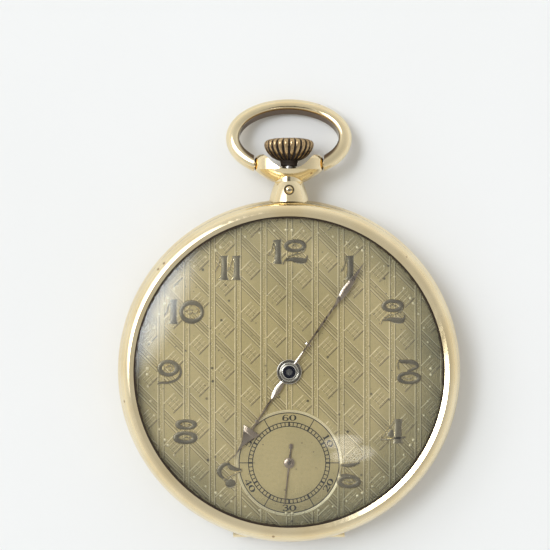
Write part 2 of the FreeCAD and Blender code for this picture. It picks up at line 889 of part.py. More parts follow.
bow_hole_middle = bar(
    "bow_hole_middle",
    "bow_pivot_radius + 1",
    "- bow_end_offset + bow_pivot_length + 0.1",
    "bow_end_offset - bow_pivot_length - 0.1",
    "bow_pivot_offset",
    "stem_level",
)
screw_well = cylinder(
    "screw_well", "pendant_screw_radius", "stem_level + sleeve_outer_radius", "pendant_screw_level + 1", "0",
    "pendant_screw_offset",
)
screw_recess = cylinder(
    "screw_recess", "pendant_screw_recess", "pendant_recess_level", "pendant_screw_level + 1", "0",
    "pendant_screw_offset",
)
node(
    "pendant",
    cut(
        "pendant_cut",
        fused("pendant_body", pendant_neck, head_flat),
        case_clear,
        case_ring,
        bowl_tool,
        sleeve_hole,
        cut("bow_hole_ends", bow_holes, bow_hole_middle),
        screw_well,
        screw_recess,
    ),
)
node(
    "pendant_screw",
    cut(
        "pendant_screw_cut",
        cylinder(
            "pendant_screw_body", "pendant_screw_radius", "stem_level + sleeve_outer_radius",
            "pendant_screw_level", "0", "pendant_screw_offset",
        ),
        block(
            "pendant_screw_slot",
            ("- pendant_screw_recess", "pendant_screw_offset", "pendant_slot_level"),
            ("pendant_screw_recess", "pendant_screw_offset + pendant_slot_width", "pendant_screw_level + 1"),
        ),
    ),
)
sleeve_bore = rod(
    "sleeve_bore", "sleeve_inner_radius", "sleeve_start_offset - 1", "sleeve_end_offset + 1", "stem_level"
)
node(
    "pendant_sleeve",
    cut(
        "sleeve_cut",
        rod("sleeve_rod", "sleeve_outer_radius", "sleeve_start_offset", "sleeve_end_offset", "stem_level"),
        sleeve_bore,
    ),
)

crown_blank = turned(
    "crown_blank",
    [
        ("0", "crown_foot_offset"),
        ("crown_foot_radius", "crown_foot_offset"),
        ("crown_waist_radius", "crown_foot_offset + crown_waist_rise"),
        ("crown_radius", "crown_foot_offset + crown_widest_rise"),
        ("crown_top_radius", "crown_foot_offset + crown_height"),
        ("0", "crown_foot_offset + crown_height"),
    ],
    arcs={1: ("crown_flank_curve", -1), 2: ("crown_flank_curve", -1), 3: ("crown_shoulder_curve", -1)},
    place=along_stem(),
)
crown_bore = rod(
    "crown_bore", "stem_radius", "crown_foot_offset - 0.1", "crown_foot_offset + 2", "stem_level"
)
DOC.recompute()


def rib_grooves():
    """V grooves around the crown's flank, cut along its axis."""
    count = int(size("crown_ribs"))
    reach = size("crown_radius")
    depth = size("crown_rib_depth")
    half = math.pi * reach / count * size("crown_rib_share")
    wedge = face_of([(reach - depth, 0), (reach + depth, half * 2), (reach + depth, -half * 2)])
    groove = wedge.extrude(FreeCAD.Vector(0, 0, size("crown_height") + 1))
    grooves = []
    for number in range(count):
        turn = groove.copy()
        turn.rotate(FreeCAD.Vector(0, 0, 0), FreeCAD.Vector(0, 0, 1), 360 * number / count)
        grooves.append(turn)
    return Part.makeCompound(grooves)


grooves = DOC.addObject("Part::Feature", "crown_grooves")
grooves.Shape = rib_grooves()
grooves.Placement = along_stem("crown_foot_offset - 0.5")
node("crown", cut("crown_cut", crown_blank, crown_bore, grooves))


def bow_section(at_point, outward):
    """The wire's section: a flat inner wall, rounded at its corners, and a full round outer side."""
    up = FreeCAD.Vector(0, 0, 1)

    def spot(reach, rise):
        return at_point + outward * reach + up * rise

    inner, outer = -size("bow_inner_reach"), size("bow_outer_reach")
    corner, crest = -size("bow_corner_reach"), -size("bow_crest_reach")
    half, flat = size("bow_half_thickness"), size("bow_inner_flat")
    middle = (flat + half) / 2
    return Part.Wire([
        Part.LineSegment(spot(inner, -flat), spot(inner, flat)).toShape(),
        Part.Arc(spot(inner, flat), spot(corner, middle), spot(crest, half)).toShape(),
        Part.Arc(spot(crest, half), spot(outer, 0), spot(crest, -half)).toShape(),
        Part.Arc(spot(crest, -half), spot(corner, -middle), spot(inner, -flat)).toShape(),
    ])


# how far the ellipse runs past its two ends, in radians, and how many points its curve passes through
BOW_OVERRUN = 0.2
BOW_POINTS = 31


def bow_shape():
    """An elliptical ring of flat-backed wire, open at the pendant, with a pivot at each end."""
    pivot_y, pivot_z = size("bow_pivot_offset"), size("stem_level")
    half_width, half_height = size("bow_half_width"), size("bow_half_height")
    end = size("bow_end_offset")
    rise = half_height * math.sqrt(1 - (end / half_width) ** 2)
    start_angle = -math.asin(rise / half_height) - BOW_OVERRUN
    points = []
    for step in range(BOW_POINTS):
        angle = start_angle + (math.pi - 2 * start_angle) * step / (BOW_POINTS - 1)
        x = half_width * math.cos(angle)
        y = pivot_y + rise + half_height * math.sin(angle)
        points.append(FreeCAD.Vector(x, y, pivot_z))
    curve = Part.BSplineCurve()
    curve.interpolate(points)
    along = curve.tangent(curve.FirstParameter)[0]
    outward = FreeCAD.Vector(along.y, -along.x, 0)
    section = bow_section(curve.value(curve.FirstParameter), outward)
    ring = Part.Wire(curve.toShape()).makePipeShell([section], True, False)
    reach = size("bow_throat_reach")
    corner = FreeCAD.Vector(-end, pivot_y - reach, pivot_z - reach)
    ring = ring.cut(Part.makeBox(2 * end, 2 * reach, 2 * reach, corner))
    length = size("bow_pivot_length")
    pins = [
        Part.makeCylinder(
            size("bow_pivot_radius"),
            length + size("bow_pivot_root"),
            FreeCAD.Vector(side * (end - length), pivot_y, pivot_z),
            FreeCAD.Vector(side, 0, 0),
        )
        for side in (1, -1)
    ]
    ring = max(ring.Solids, key=lambda solid: solid.Volume).multiFuse(pins).removeSplitter()
    ring.rotate(FreeCAD.Vector(0, pivot_y, pivot_z), FreeCAD.Vector(1, 0, 0), -size("bow_droop"))
    return ring


node("bow", feature("bow_ring", bow_shape()))


# Dial and hands -----------------------------------------------------------------------------------
dial_blank = cylinder("dial_blank", "dial_radius", "dial_bottom_level", "dial_top_level")
seconds_recess = cylinder(
    "seconds_recess", "seconds_recess_radius", "seconds_recess_level", "dial_top_level + 1", "0",
    "- seconds_offset",
)
dial_hole = cylinder("dial_hole", "dial_hole_radius", "dial_bottom_level - 1", "dial_top_level + 1")
seconds_hole = cylinder(
    "seconds_hole", "seconds_hole_radius", "dial_bottom_level - 1", "dial_top_level + 1", "0",
    "- seconds_offset",
)
DIAL_FOOT_TURNS = (48.0, 178.0, 305.0)
DIAL_FEET = [polar(size("dial_foot_offset"), turn) for turn in DIAL_FOOT_TURNS]


def posts(name, places, radius, bottom, top):
    return [
        cylinder("%s_%d" % (name, number), radius, bottom, top, "%.4f" % p.x, "%.4f" % p.y)
        for number, p in enumerate(places)
    ]


dial_feet = posts("dial_foot", DIAL_FEET, "dial_foot_radius", "plate_top_level - dial_foot_depth",
                  "dial_bottom_level")
node(
    "dial",
    fused("dial_body", cut("dial_cut", dial_blank, seconds_recess, dial_hole, seconds_hole), *dial_feet),
)


def hand(name, profile, boss, bore, level, drop, rise, angle, place=CENTRE):
    """A flat hand with a round boss. The profile runs along +Y and is turned clockwise by the angle."""
    blade = raised(face_of(mirrored_outline(profile)), level, "hand_thickness")
    ring = disc(size(boss)).cut(disc(size(bore)))
    boss_solid = raised(ring, level + " - " + drop, "hand_thickness + %s + %s" % (drop, rise))
    bore_solid = raised(disc(size(bore)), level + " - 1", "2")
    solid = blade.cut(bore_solid).fuse(boss_solid).removeSplitter()
    solid.rotate(FreeCAD.Vector(0, 0, 0), FreeCAD.Vector(0, 0, 1), -size(angle))
    return feature(name, solid, (place.x, place.y, 0))


# (distance along the hand, half width)
MINUTE_PROFILE = [
    (-0.3, 0.13), (4.3, 0.13), (4.34, 0.38), (4.62, 0.38), (4.66, 0.13), (10.9, 0.13),
    (12.2, 0.35), (13.4, 0.47), (14.9, 0.34), (16.5, 0.15), (17.8, 0.04),
]
HOUR_PROFILE = [
    (-0.3, 0.2), (1.4, 0.24), (2.0, 0.4), (2.7, 0.45), (3.4, 0.37), (4.1, 0.16), (7.8, 0.14),
    (7.86, 0.3), (8.1, 0.3), (8.16, 0.14), (9.45, 0.16), (9.3, 1.3), (9.8, 1.05), (10.5, 0.7),
    (11.3, 0.38), (12.1, 0.16), (13.93, 0.04),
]
SECONDS_PROFILE = [(-2.6, 0.21), (-1.95, 0.23), (-1.85, 0.1), (0.0, 0.13), (5.7, 0.05)]
node(
    "minute_hand",
    hand("minute_blade", MINUTE_PROFILE, "minute_boss_radius", "cannon_radius", "minute_hand_level",
         "hand_boss_rise", "hand_boss_rise", "minute_hand_angle"),
)
node(
    "hour_hand",
    hand("hour_blade", HOUR_PROFILE, "hour_boss_radius", "hour_pipe_radius", "hour_hand_level",
         "hand_boss_rise", "hand_boss_rise", "hour_hand_angle"),
)
node(
    "seconds_hand",
    hand("seconds_blade", SECONDS_PROFILE, "seconds_boss_radius", "seconds_pivot_radius",
         "seconds_hand_level", "0", "seconds_boss_rise", "seconds_hand_angle", FOURTH),
)


# Frame of the movement ----------------------------------------------------------------------------
def at(point):
    """A point's two coordinates as the text that the cell functions read."""
    return "%.4f" % point.x, "%.4f" % point.y


plate_blank = turned(
    "plate_blank",
    [
        ("0", "plate_bottom_level"),
        ("plate_radius", "plate_bottom_level"),
        ("plate_radius", "plate_seat_level"),
        ("plate_flange_radius", "plate_seat_level"),
        ("plate_flange_radius", "dial_bottom_level"),
        ("plate_rim_radius", "dial_bottom_level"),
        ("plate_rim_radius", "plate_top_level"),
        ("0", "plate_top_level"),
    ],
)
keyless_slot = block(
    "keyless_slot", ("- keyless_half_width", "keyless_start", "plate_bottom_level - 1"),
    ("keyless_half_width", "pinion_start + pinion_length + 0.1", "plate_top_level + 1"),
)
lever_notch = block(
    "lever_notch", ("- lever_notch_left", "lever_notch_start", "plate_top_level"),
    ("lever_notch_right", "plate_flange_radius + 1", "dial_bottom_level + 1"),
)
lever_pin_slot = block(
    "lever_pin_slot", ("- pin_slot_left", "pin_slot_start", "plate_bottom_level - 1"),
    ("pin_slot_right", "plate_flange_radius + 1", "plate_top_level + 1"),
)
stem_channel = rod(
    "stem_channel", "stem_room_radius", "stem_room_start", "plate_flange_radius + 1", "stem_level"
)
plate_tools = [
    cylinder("barrel_pocket", "barrel_pocket_radius", "0", "barrel_pocket_level", *at(BARREL)),
    cylinder("minute_recess", "minute_recess_radius", "motion_floor_level", "plate_top_level + 1",
             *at(MINUTE_WHEEL)),
    cylinder("setting_recess", "setting_recess_radius", "motion_floor_level", "plate_top_level + 1",
             *at(SETTING_WHEEL)),
    cylinder("cannon_recess", "cannon_recess_radius", "motion_floor_level", "plate_top_level + 1"),
    cylinder("centre_hole", "jewel_radius", "0", "plate_top_level + 1"),
    cylinder("barrel_hole", "barrel_pivot_hole", "0", "plate_top_level + 1", *at(BARREL)),
    keyless_slot,
    lever_notch,
    lever_pin_slot,
    stem_channel,
]
JEWELLED = {"third": THIRD, "fourth": FOURTH, "escape": ESCAPE, "lever": LEVER, "balance": BALANCE}
for name, place in JEWELLED.items():
    plate_tools.append(cylinder(name + "_plate_hole", "jewel_radius", "0", "plate_top_level + 1", *at(place)))
plate_tools += posts("foot_hole", DIAL_FEET, "dial_foot_radius + 0.03",
                     "plate_top_level - dial_foot_depth - 0.1", "plate_top_level + 1")

BARREL_BRIDGE_SCREWS = [
    FreeCAD.Vector(-9.5, 12.5, 0),
    FreeCAD.Vector(-14.5, 5.0, 0),
    FreeCAD.Vector(7.8, 15.6, 0),
]
TRAIN_BRIDGE_SCREWS = [FreeCAD.Vector(-15.6, -4.0, 0), FreeCAD.Vector(-11.2, -12.2, 0)]
COCK_SCREW = [COCK_FOOT]
LEVER_SCREW = [LEVER_FOOT]
CASE_SCREW_TURNS = (20.0, 165.0)
BRIDGE_SCREWS = BARREL_BRIDGE_SCREWS + TRAIN_BRIDGE_SCREWS + COCK_SCREW
plate_tools += posts("screw_hole", BRIDGE_SCREWS, "screw_shank_radius", "0", "screw_end_level")
plate_tools += posts("lever_screw_hole", LEVER_SCREW, "lever_screw_radius", "0", "screw_end_level")
CASE_SCREWS = [polar(size("case_screw_offset"), turn) for turn in CASE_SCREW_TURNS]
plate_tools += posts("case_screw_hole", CASE_SCREWS, "screw_shank_radius", "0", "plate_seat_level - 0.3")
wheel_posts = posts("wheel_post", (MINUTE_WHEEL, SETTING_WHEEL), "wheel_post_radius",
                    "motion_floor_level - 0.1", "hour_wheel_level + 0.03")
node("mainplate", fused("mainplate_body", cut("mainplate_cut", plate_blank, *plate_tools), *wheel_posts))


def half_round(name, bottom, top, low, high):
    """The part of the bridges' disc that lies inside a box in plan."""
    round_slab = cylinder(name + "_round", "bridge_radius", bottom, top)
    box = block(name + "_box", (*low, bottom + " - 1"), (*high, top + " + 1"))
    return common(name, round_slab, box)


FAR = "bridge_radius + 1"
BACK = "- bridge_radius - 1"
barrel_top = half_round("barrel_top", "bridge_bottom_level", "bridge_top_level",
                        (BACK, "barrel_bridge_edge"), (FAR, FAR))
crown_web = cylinder("crown_web", "crown_web_radius", "bridge_top_level - 0.1", "crown_web_level",
                     *at(CROWN_WHEEL))
left_pad = half_round("left_pad", "bridge_top_level - 0.1", "plate_bottom_level",
                      (BACK, "7.4"), ("- stem_corridor", FAR))
right_pad = half_round("right_pad", "bridge_top_level - 0.1", "plate_bottom_level",
                       ("stem_corridor", "8"), (FAR, FAR))
barrel_clearance = cylinder("barrel_clearance", "barrel_room_radius", "bridge_top_level",
                            "plate_bottom_level + 1", *at(BARREL))
centre_clearance = cylinder("centre_clearance", "centre_room_radius", "bridge_top_level",
                            "plate_bottom_level + 1")
crown_recess = cylinder("crown_recess", "crown_recess_radius", "0", "crown_recess_level", *at(CROWN_WHEEL))
crown_groove = cut(
    "crown_groove",
    cylinder("groove_outer", "crown_groove_outer", "0", "crown_groove_level", *at(CROWN_WHEEL)),
    cylinder("groove_inner", "crown_groove_inner", "0", "crown_groove_level + 1", *at(CROWN_WHEEL)),
)
pinion_window = rod("pinion_window", "pinion_window_radius", "pinion_start - 0.15",
                    "pinion_start + pinion_length + 0.1", "stem_level")
clutch_room = rod("clutch_room", "clutch_room_radius", "clutch_room_start", "pinion_start", "stem_level")
stem_room = rod("stem_room", "stem_room_radius", "stem_room_start", "bridge_radius + 1", "stem_level")
barrel_arbor_hole = cylinder("barrel_arbor_hole", "barrel_arbor_room", "0", "bridge_top_level + 1",
                             *at(BARREL))
crown_screw_hole = cylinder("crown_screw_hole", "crown_screw_radius", "0", "bridge_top_level + 1",
                            *at(CROWN_WHEEL))
CLICK_REACH, CLICK_TURN = 8.15, 178.0
CLICK = BARREL + polar(CLICK_REACH, CLICK_TURN)
barrel_bridge_solid = cut(
    "barrel_bridge_solid",
    fused("barrel_bridge_blank", barrel_top, crown_web, cut("pads_cut", fused("pads", left_pad, right_pad),
                                                             barrel_clearance, centre_clearance)),
    crown_recess,
    crown_groove,
    pinion_window,
    clutch_room,
    stem_room,
    barrel_arbor_hole,
    crown_screw_hole,
    cylinder("click_hole", "click_post_radius", "0", "bridge_top_level + 1", *at(CLICK)),
    *posts("barrel_screw_hole", BARREL_BRIDGE_SCREWS, "screw_shank_radius", "0", "plate_bottom_level + 1"),
    *posts("barrel_screw_sink", BARREL_BRIDGE_SCREWS, "screw_head_radius + 0.05", "0",
           "screw_top_level + screw_head_height"),
)
node("barrel_bridge", barrel_bridge_solid)

train_slab = half_round("train_slab", "bridge_bottom_level", "bridge_top_level",
                        (BACK, BACK), ("3.4", "train_bridge_edge"))
escape_arm = DOC.addObject("Part::Feature", "escape_arm")
ESCAPE_ARM_ROOT = FOURTH + FreeCAD.Vector(1.5, -0.8, 0)
escape_arm.Shape = raised(capsule(ESCAPE_ARM_ROOT, ESCAPE, 3.2, 1.7), "bridge_bottom_level",
                          "bridge_top_level - bridge_bottom_level")
train_pad = half_round("train_pad", "bridge_top_level - 0.1", "plate_bottom_level",
                       (BACK, BACK), ("- 4.6", "train_bridge_edge"))
train_pad_tools = [
    cylinder("third_clearance", "third_room_radius", "0", "plate_bottom_level + 1", *at(THIRD)),
    cylinder("fourth_clearance", "fourth_room_radius", "0", "plate_bottom_level + 1", *at(FOURTH)),
    cylinder("centre_room", "centre_room_radius", "0", "plate_bottom_level + 1"),
]
train_holes = [
    cylinder(name + "_bridge_hole", "jewel_radius", "0", "3", *at(place))
    for name, place in (("centre", CENTRE), ("third", THIRD), ("fourth", FOURTH), ("escape", ESCAPE))
]
node(
    "train_bridge",
    cut(
        "train_bridge_solid",
        fused("train_blank", train_slab, escape_arm, cut("train_pad_cut", train_pad, *train_pad_tools)),
        *train_holes,
        *posts("train_screw_hole", TRAIN_BRIDGE_SCREWS, "screw_shank_radius", "0", "plate_bottom_level + 1"),
        *posts("train_screw_sink", TRAIN_BRIDGE_SCREWS, "screw_head_radius + 0.05", "0",
               "screw_top_level + screw_head_height"),
    ),
)

cock_arm = DOC.addObject("Part::Feature", "cock_arm")
cock_arm.Shape = raised(capsule(BALANCE, COCK_FOOT, 2.1, 3.0), "bridge_bottom_level",
                        "bridge_top_level - bridge_bottom_level - 0.15")
cock_pad = DOC.addObject("Part::Feature", "cock_pad")
cock_pad.Shape = raised(disc(2.9, COCK_FOOT.x, COCK_FOOT.y), "bridge_top_level - 0.3",
                        "plate_bottom_level - bridge_top_level + 0.3")
cock_round = cylinder("cock_round", "bridge_radius", "0", "plate_bottom_level + 1")
node(
    "balance_cock",
    cut(
        "cock_solid",
        common("cock_blank", fused("cock_pieces", cock_arm, cock_pad), cock_round),
        cylinder("cock_jewel_hole", "jewel_radius", "0", "3", *at(BALANCE)),
        *posts("cock_screw_hole", COCK_SCREW, "screw_shank_radius", "0", "plate_bottom_level + 1"),
        *posts("cock_screw_sink", COCK_SCREW, "screw_head_radius + 0.05", "0",
               "screw_top_level + screw_head_height"),
    ),
)

lever_arm = DOC.addObject("Part::Feature", "lever_arm")
lever_arm.Shape = raised(capsule(LEVER, LEVER_FOOT, 1.1, 1.2), "pallet_bridge_level",
                         "pallet_bridge_thickness")
lever_pad = DOC.addObject("Part::Feature", "lever_pad")
lever_pad.Shape = raised(disc(1.15, LEVER_FOOT.x, LEVER_FOOT.y), "pallet_bridge_level + 0.25",
                         "plate_bottom_level - pallet_bridge_level - 0.25")
node(
    "pallet_bridge",
    cut(
        "pallet_bridge_solid",
        fused("pallet_bridge_blank", lever_arm, lever_pad),
        cylinder("lever_jewel_hole", "0.6", "pallet_bridge_level - 1", "pallet_bridge_level + 1", *at(LEVER)),
        *posts("lever_foot_hole", LEVER_SCREW, "lever_screw_radius", "pallet_bridge_level - 1",
               "plate_bottom_level + 1"),
    ),
)


def screw_solid(head, head_height, shank, end, top, slot):
    """A slotted cheese-head screw whose head faces the back."""
    body = stack((head, top, top + " + " + head_height), (shank, top, end))
    groove = Part.makeBox(2 * size(head) + 1, size(slot), 0.15)
    groove.translate(FreeCAD.Vector(-size(head) - 0.5, -size(slot) / 2, size(top) - 0.01))
    groove.rotate(FreeCAD.Vector(0, 0, 0), FreeCAD.Vector(0, 0, 1), 35)
    return body.cut(groove)


def copies(solid, places):
    placed = []
    for number, place in enumerate(places):
        one = solid.copy()
        one.rotate(FreeCAD.Vector(0, 0, 0), FreeCAD.Vector(0, 0, 1), 47 * number)
        one.translate(place)
        placed.append(one)
    return placed


bridge_screw = screw_solid("screw_head_radius", "screw_head_height", "screw_shank_radius", "screw_end_level",
                           "screw_top_level", "screw_slot")
lever_screw = screw_solid("0.5", "0.1", "lever_screw_radius", "screw_end_level", "pallet_bridge_level - 0.1",
                          "0.12")
case_screw = screw_solid("0.9", "0.3", "screw_shank_radius", "plate_seat_level - 0.35", "case_screw_level",
                         "screw_slot")
screw_set = copies(bridge_screw, BRIDGE_SCREWS)
screw_set += copies(lever_screw, LEVER_SCREW)
screw_set += copies(case_screw, CASE_SCREWS)
node("movement_screws", feature("movement_screw_set", Part.makeCompound(screw_set)))
crown_screw = screw_solid("1.3", "0.12", "crown_screw_radius", "2.7", "1.1", "screw_slot")
node("crown_wheel_screw", feature("crown_wheel_screw_body", crown_screw, (CROWN_WHEEL.x, CROWN_WHEEL.y, 0)))


def jewel(place, bore, bottom):
    ring = Part.makeCylinder(size("jewel_radius"), size("jewel_thickness"))
    ring = ring.cut(Part.makeCylinder(bore, 2, FreeCAD.Vector(0, 0, -1)))
    ring.translate(FreeCAD.Vector(place.x, place.y, bottom))
    return ring


plate_jewel_level = size("plate_bottom_level") + 0.25
bridge_jewel_level = size("bridge_bottom_level") + 0.12
jewels = [jewel(CENTRE, 0.46, plate_jewel_level), jewel(FOURTH, 0.18, plate_jewel_level)]
jewels += [jewel(place, 0.12, plate_jewel_level) for place in (THIRD, ESCAPE, LEVER, BALANCE)]
jewels += [jewel(CENTRE, 0.33, bridge_jewel_level)]
jewels += [jewel(place, 0.12, bridge_jewel_level) for place in (THIRD, FOURTH, ESCAPE, BALANCE)]
endstone = raised(disc(1.15, BALANCE.x, BALANCE.y), "bridge_bottom_level - 0.2", "0.2")
node("jewels", feature("jewel_set", Part.makeCompound(jewels + [endstone])))


# Going train --------------------------------------------------------------------------------------
WHEEL = "wheel_thickness"
fourth_phase = math.radians(90)
fourth_leaf_phase = math.radians(90)
third_phase = meshed(FOURTH, THIRD, "fourth_leaves", fourth_leaf_phase, "third_teeth")
third_leaf_phase = 0.3
centre_phase = meshed(THIRD, CENTRE, "third_leaves", third_leaf_phase, "centre_teeth")
centre_leaf_phase = 0.1
barrel_phase = meshed(CENTRE, BARREL, "centre_leaves", centre_leaf_phase, "barrel_teeth")
escape_leaf_phase = meshed(FOURTH, ESCAPE, "fourth_teeth", fourth_phase, "escape_leaves")


def train_wheel(label, teeth, module, phase, level, place, hub=1.0, rim=0.62, bore=0.3, spokes=5, half=0.17):
    number = int(size(teeth))
    root = size(module) * (number / 2 - 1.15)
    face = crossed_wheel(toothed(number, size(module), phase), hub, root - rim, bore, spokes, half, phase)
    return node(label, feature(label + "_disc", raised(face, level, WHEEL), (place.x, place.y, 0)))


def leaved_arbor(label, place, steps, leaves, module, low, high, phase):
    """An arbor turned from coaxial cylinders, with pinion leaves cut on it."""
    gear = toothed(int(size(leaves)), size(module), phase, 0.75, 1.2)
    solid = stack(*steps).fuse(raised(gear, low, high + " - " + low)).removeSplitter()
    return node(label, feature(label + "_body", solid, (place.x, place.y, 0)))


train_wheel("centre_wheel", "centre_teeth", "centre_module", centre_phase, "centre_wheel_level", CENTRE, 1.5,
            bore=0.6)
leaved_arbor(
    "centre_arbor", CENTRE,
    (("0.28", "1.66", "centre_wheel_level"), ("0.6", "centre_wheel_level", "2.95"),
     ("centre_arbor_radius", "2.9", "cannon_top_level - 0.12")),
    "centre_leaves", "barrel_module", "2.95", "3.95", centre_leaf_phase,
)
train_wheel("third_wheel", "third_teeth", "third_module", third_phase, "third_wheel_level", THIRD, bore=0.42)
leaved_arbor(
    "third_pinion", THIRD,
    (("0.1", "1.72", "4.95"), ("0.3", "2.55", "4.3"),
     ("0.42", "third_wheel_level - 0.1", "third_wheel_level + wheel_thickness")),
    "third_leaves", "centre_module", "2.58", "3.08", third_leaf_phase,
)
train_wheel("fourth_wheel", "fourth_teeth", "fourth_module", fourth_phase, "fourth_wheel_level", FOURTH,
            bore=0.42)
leaved_arbor(
    "fourth_pinion", FOURTH,
    (("0.1", "1.72", "2.8"), ("0.28", "2.7", "4.5"), ("0.42", "3.4", "fourth_wheel_level + wheel_thickness"),
     ("seconds_pivot_radius", "4.4", "seconds_hand_level + hand_thickness + seconds_boss_rise")),
    "fourth_leaves", "third_module", "3.06", "3.48", fourth_leaf_phase,
)


def escape_face():
    """Fifteen pointed teeth that lean forward, on a thin rim with four spokes."""
    teeth = int(size("escape_teeth"))
    tip = size("escape_radius")
    root = tip - 0.75
    pitch = 2 * math.pi / teeth
    points = []
    for number in range(teeth):
        for reach, share in ((root, -0.1), (tip - 0.12, 0.3), (tip, 0.34), (tip - 0.1, 0.42), (root, 0.2)):
            angle = (number + share) * pitch + ESCAPE_PHASE
            points.append((reach * math.cos(angle), reach * math.sin(angle)))
    return crossed_wheel(face_of(points), 0.75, root - 0.32, 0.3, 4, 0.13, 0.4)


# the pallets stand either side of the line to the lever's arbor, half way between two teeth
ESCAPE_PHASE = bearing(ESCAPE, LEVER) - math.radians(24 * 0.36) + math.radians(12)
node("escape_wheel", feature("escape_disc", raised(escape_face(), "escape_wheel_level", WHEEL),
                             (ESCAPE.x, ESCAPE.y, 0)))
leaved_arbor(
    "escape_pinion", ESCAPE,
    (("0.1", "1.72", "4.95"), ("0.22", "3.38", "4.35"),
     ("0.3", "3.9", "escape_wheel_level + wheel_thickness")),
    "escape_leaves", "fourth_module", "3.45", "3.9", escape_leaf_phase,
)

drum = turned(
    "drum",
    [
        ("1.15", "barrel_bottom_level"),
        ("barrel_wall_radius", "barrel_bottom_level"),
        ("barrel_wall_radius", "barrel_top_level"),
        ("barrel_wall_inner", "barrel_top_level"),
        ("barrel_wall_inner", "barrel_floor_level"),
        ("1.15", "barrel_floor_level"),
    ],
    place=FreeCAD.Placement(BARREL, FreeCAD.Rotation()),
)
barrel_gear = toothed(int(size("barrel_teeth")), size("barrel_module"), barrel_phase)
barrel_gear = barrel_gear.cut(disc(size("barrel_wall_radius") - 0.2))
barrel_teeth = raised(barrel_gear, "barrel_bottom_level", "barrel_rim_level - barrel_bottom_level")
barrel_ring = feature("barrel_ring", barrel_teeth, (BARREL.x, BARREL.y, 0))
node("barrel_drum", fused("barrel_drum_solid", drum, barrel_ring))
node(
    "barrel_cover",
    cut(
        "barrel_cover_solid",
        cylinder("cover_disc", "barrel_wall_inner - 0.01", "barrel_cover_level",
                 "barrel_cover_level + barrel_cover_thickness", *at(BARREL)),
        cylinder("cover_hole", "0.95", "barrel_cover_level - 1", "barrel_top_level + 1", *at(BARREL)),
    ),
)
mainspring_coil = raised(
    spiral(2.7, size("barrel_wall_inner") - 0.25, 7, size("mainspring_thickness")),
    "barrel_floor_level + 0.08",
    "barrel_cover_level - barrel_floor_level - 0.16",
)
node("mainspring", feature("mainspring_coil", mainspring_coil, (BARREL.x, BARREL.y, 0)))
arbor_core = stack(("1.05", "1.55", "3.48"), ("arbor_core_radius", "3.46", "4.62"), ("0.9", "4.6", "4.98"),
                   ("0.6", "4.9", "5.6"), ("0.8", "ratchet_level", "1.6"))
arbor_hook = Part.makeBox(0.5, 0.6, 0.6, FreeCAD.Vector(size("arbor_core_radius") - 0.15, -0.3, 3.75))
arbor_thread = Part.makeCylinder(0.42, 1.2, FreeCAD.Vector(0, 0, 1.0))
arbor_solid = arbor_core.fuse(arbor_hook).cut(arbor_thread).removeSplitter()
node("barrel_arbor", feature("barrel_arbor_body", arbor_solid, (BARREL.x, BARREL.y, 0)))

crown_phase = math.radians(90) + math.pi / size("crown_wheel_teeth")
ratchet_phase = meshed(CROWN_WHEEL, BARREL, "crown_wheel_teeth", crown_phase, "ratchet_teeth")
ratchet_face = toothed(int(size("ratchet_teeth")), size("winding_module"), ratchet_phase).cut(disc(0.8))
node("ratchet_wheel", feature("ratchet_disc", raised(ratchet_face, "ratchet_level", "ratchet_thickness"),
                              (BARREL.x, BARREL.y, 0)))
ratchet_screw = screw_solid("1.35", "0.1", "0.42", "2.1", "1.12", "screw_slot")
node("ratchet_screw", feature("ratchet_screw_body", ratchet_screw, (BARREL.x, BARREL.y, 0)))


CROWN_WHEEL_BORE, CROWN_RING_INNER, CROWN_RING_OUTER = 0.42, 3.95, 4.85
CROWN_RING_HEIGHT = "0.81"


def crown_wheel_solid():
    """A spur wheel above and face teeth below, with the face teeth in mesh with the winding pinion."""
    teeth = int(size("crown_wheel_teeth"))
    module = size("winding_module")
    spur = toothed(teeth, module, crown_phase).cut(disc(CROWN_WHEEL_BORE))
    top = raised(spur, "ratchet_level", "ratchet_thickness")
    inner, outer = CROWN_RING_INNER, CROWN_RING_OUTER
    ring_bottom = "ratchet_level + ratchet_thickness"
    ring = raised(disc(outer).cut(disc(inner)), ring_bottom, CROWN_RING_HEIGHT)
    tooth_face = face_of([(inner, -0.13), (outer, -0.16), (outer, 0.16), (inner, 0.13)])
    tooth = raised(tooth_face, "%s + %s - 0.01" % (ring_bottom, CROWN_RING_HEIGHT), "0.4")
    face_teeth = []
    for number in range(teeth):
        one = tooth.copy()
        turn = math.degrees(crown_phase) + 360 * number / teeth
        one.rotate(FreeCAD.Vector(0, 0, 0), FreeCAD.Vector(0, 0, 1), turn)
        face_teeth.append(one)
    return top.multiFuse([ring] + face_teeth)


node("crown_wheel", feature("crown_wheel_body", crown_wheel_solid(), (CROWN_WHEEL.x, CROWN_WHEEL.y, 0)))


def link(label, outline, level, thickness, pins=()):
    """A flat lever made of capsules, with pins that stand down from it."""
    face = outline[0].multiFuse(outline[1:]).removeSplitter() if len(outline) > 1 else outline[0]
    solid = raised(face, level, thickness)
    for place, radius, bottom, top in pins:
        solid = solid.fuse(Part.makeCylinder(radius, top - bottom, FreeCAD.Vector(place.x, place.y, bottom)))
    return node(label, feature(label + "_lever", solid.removeSplitter()))


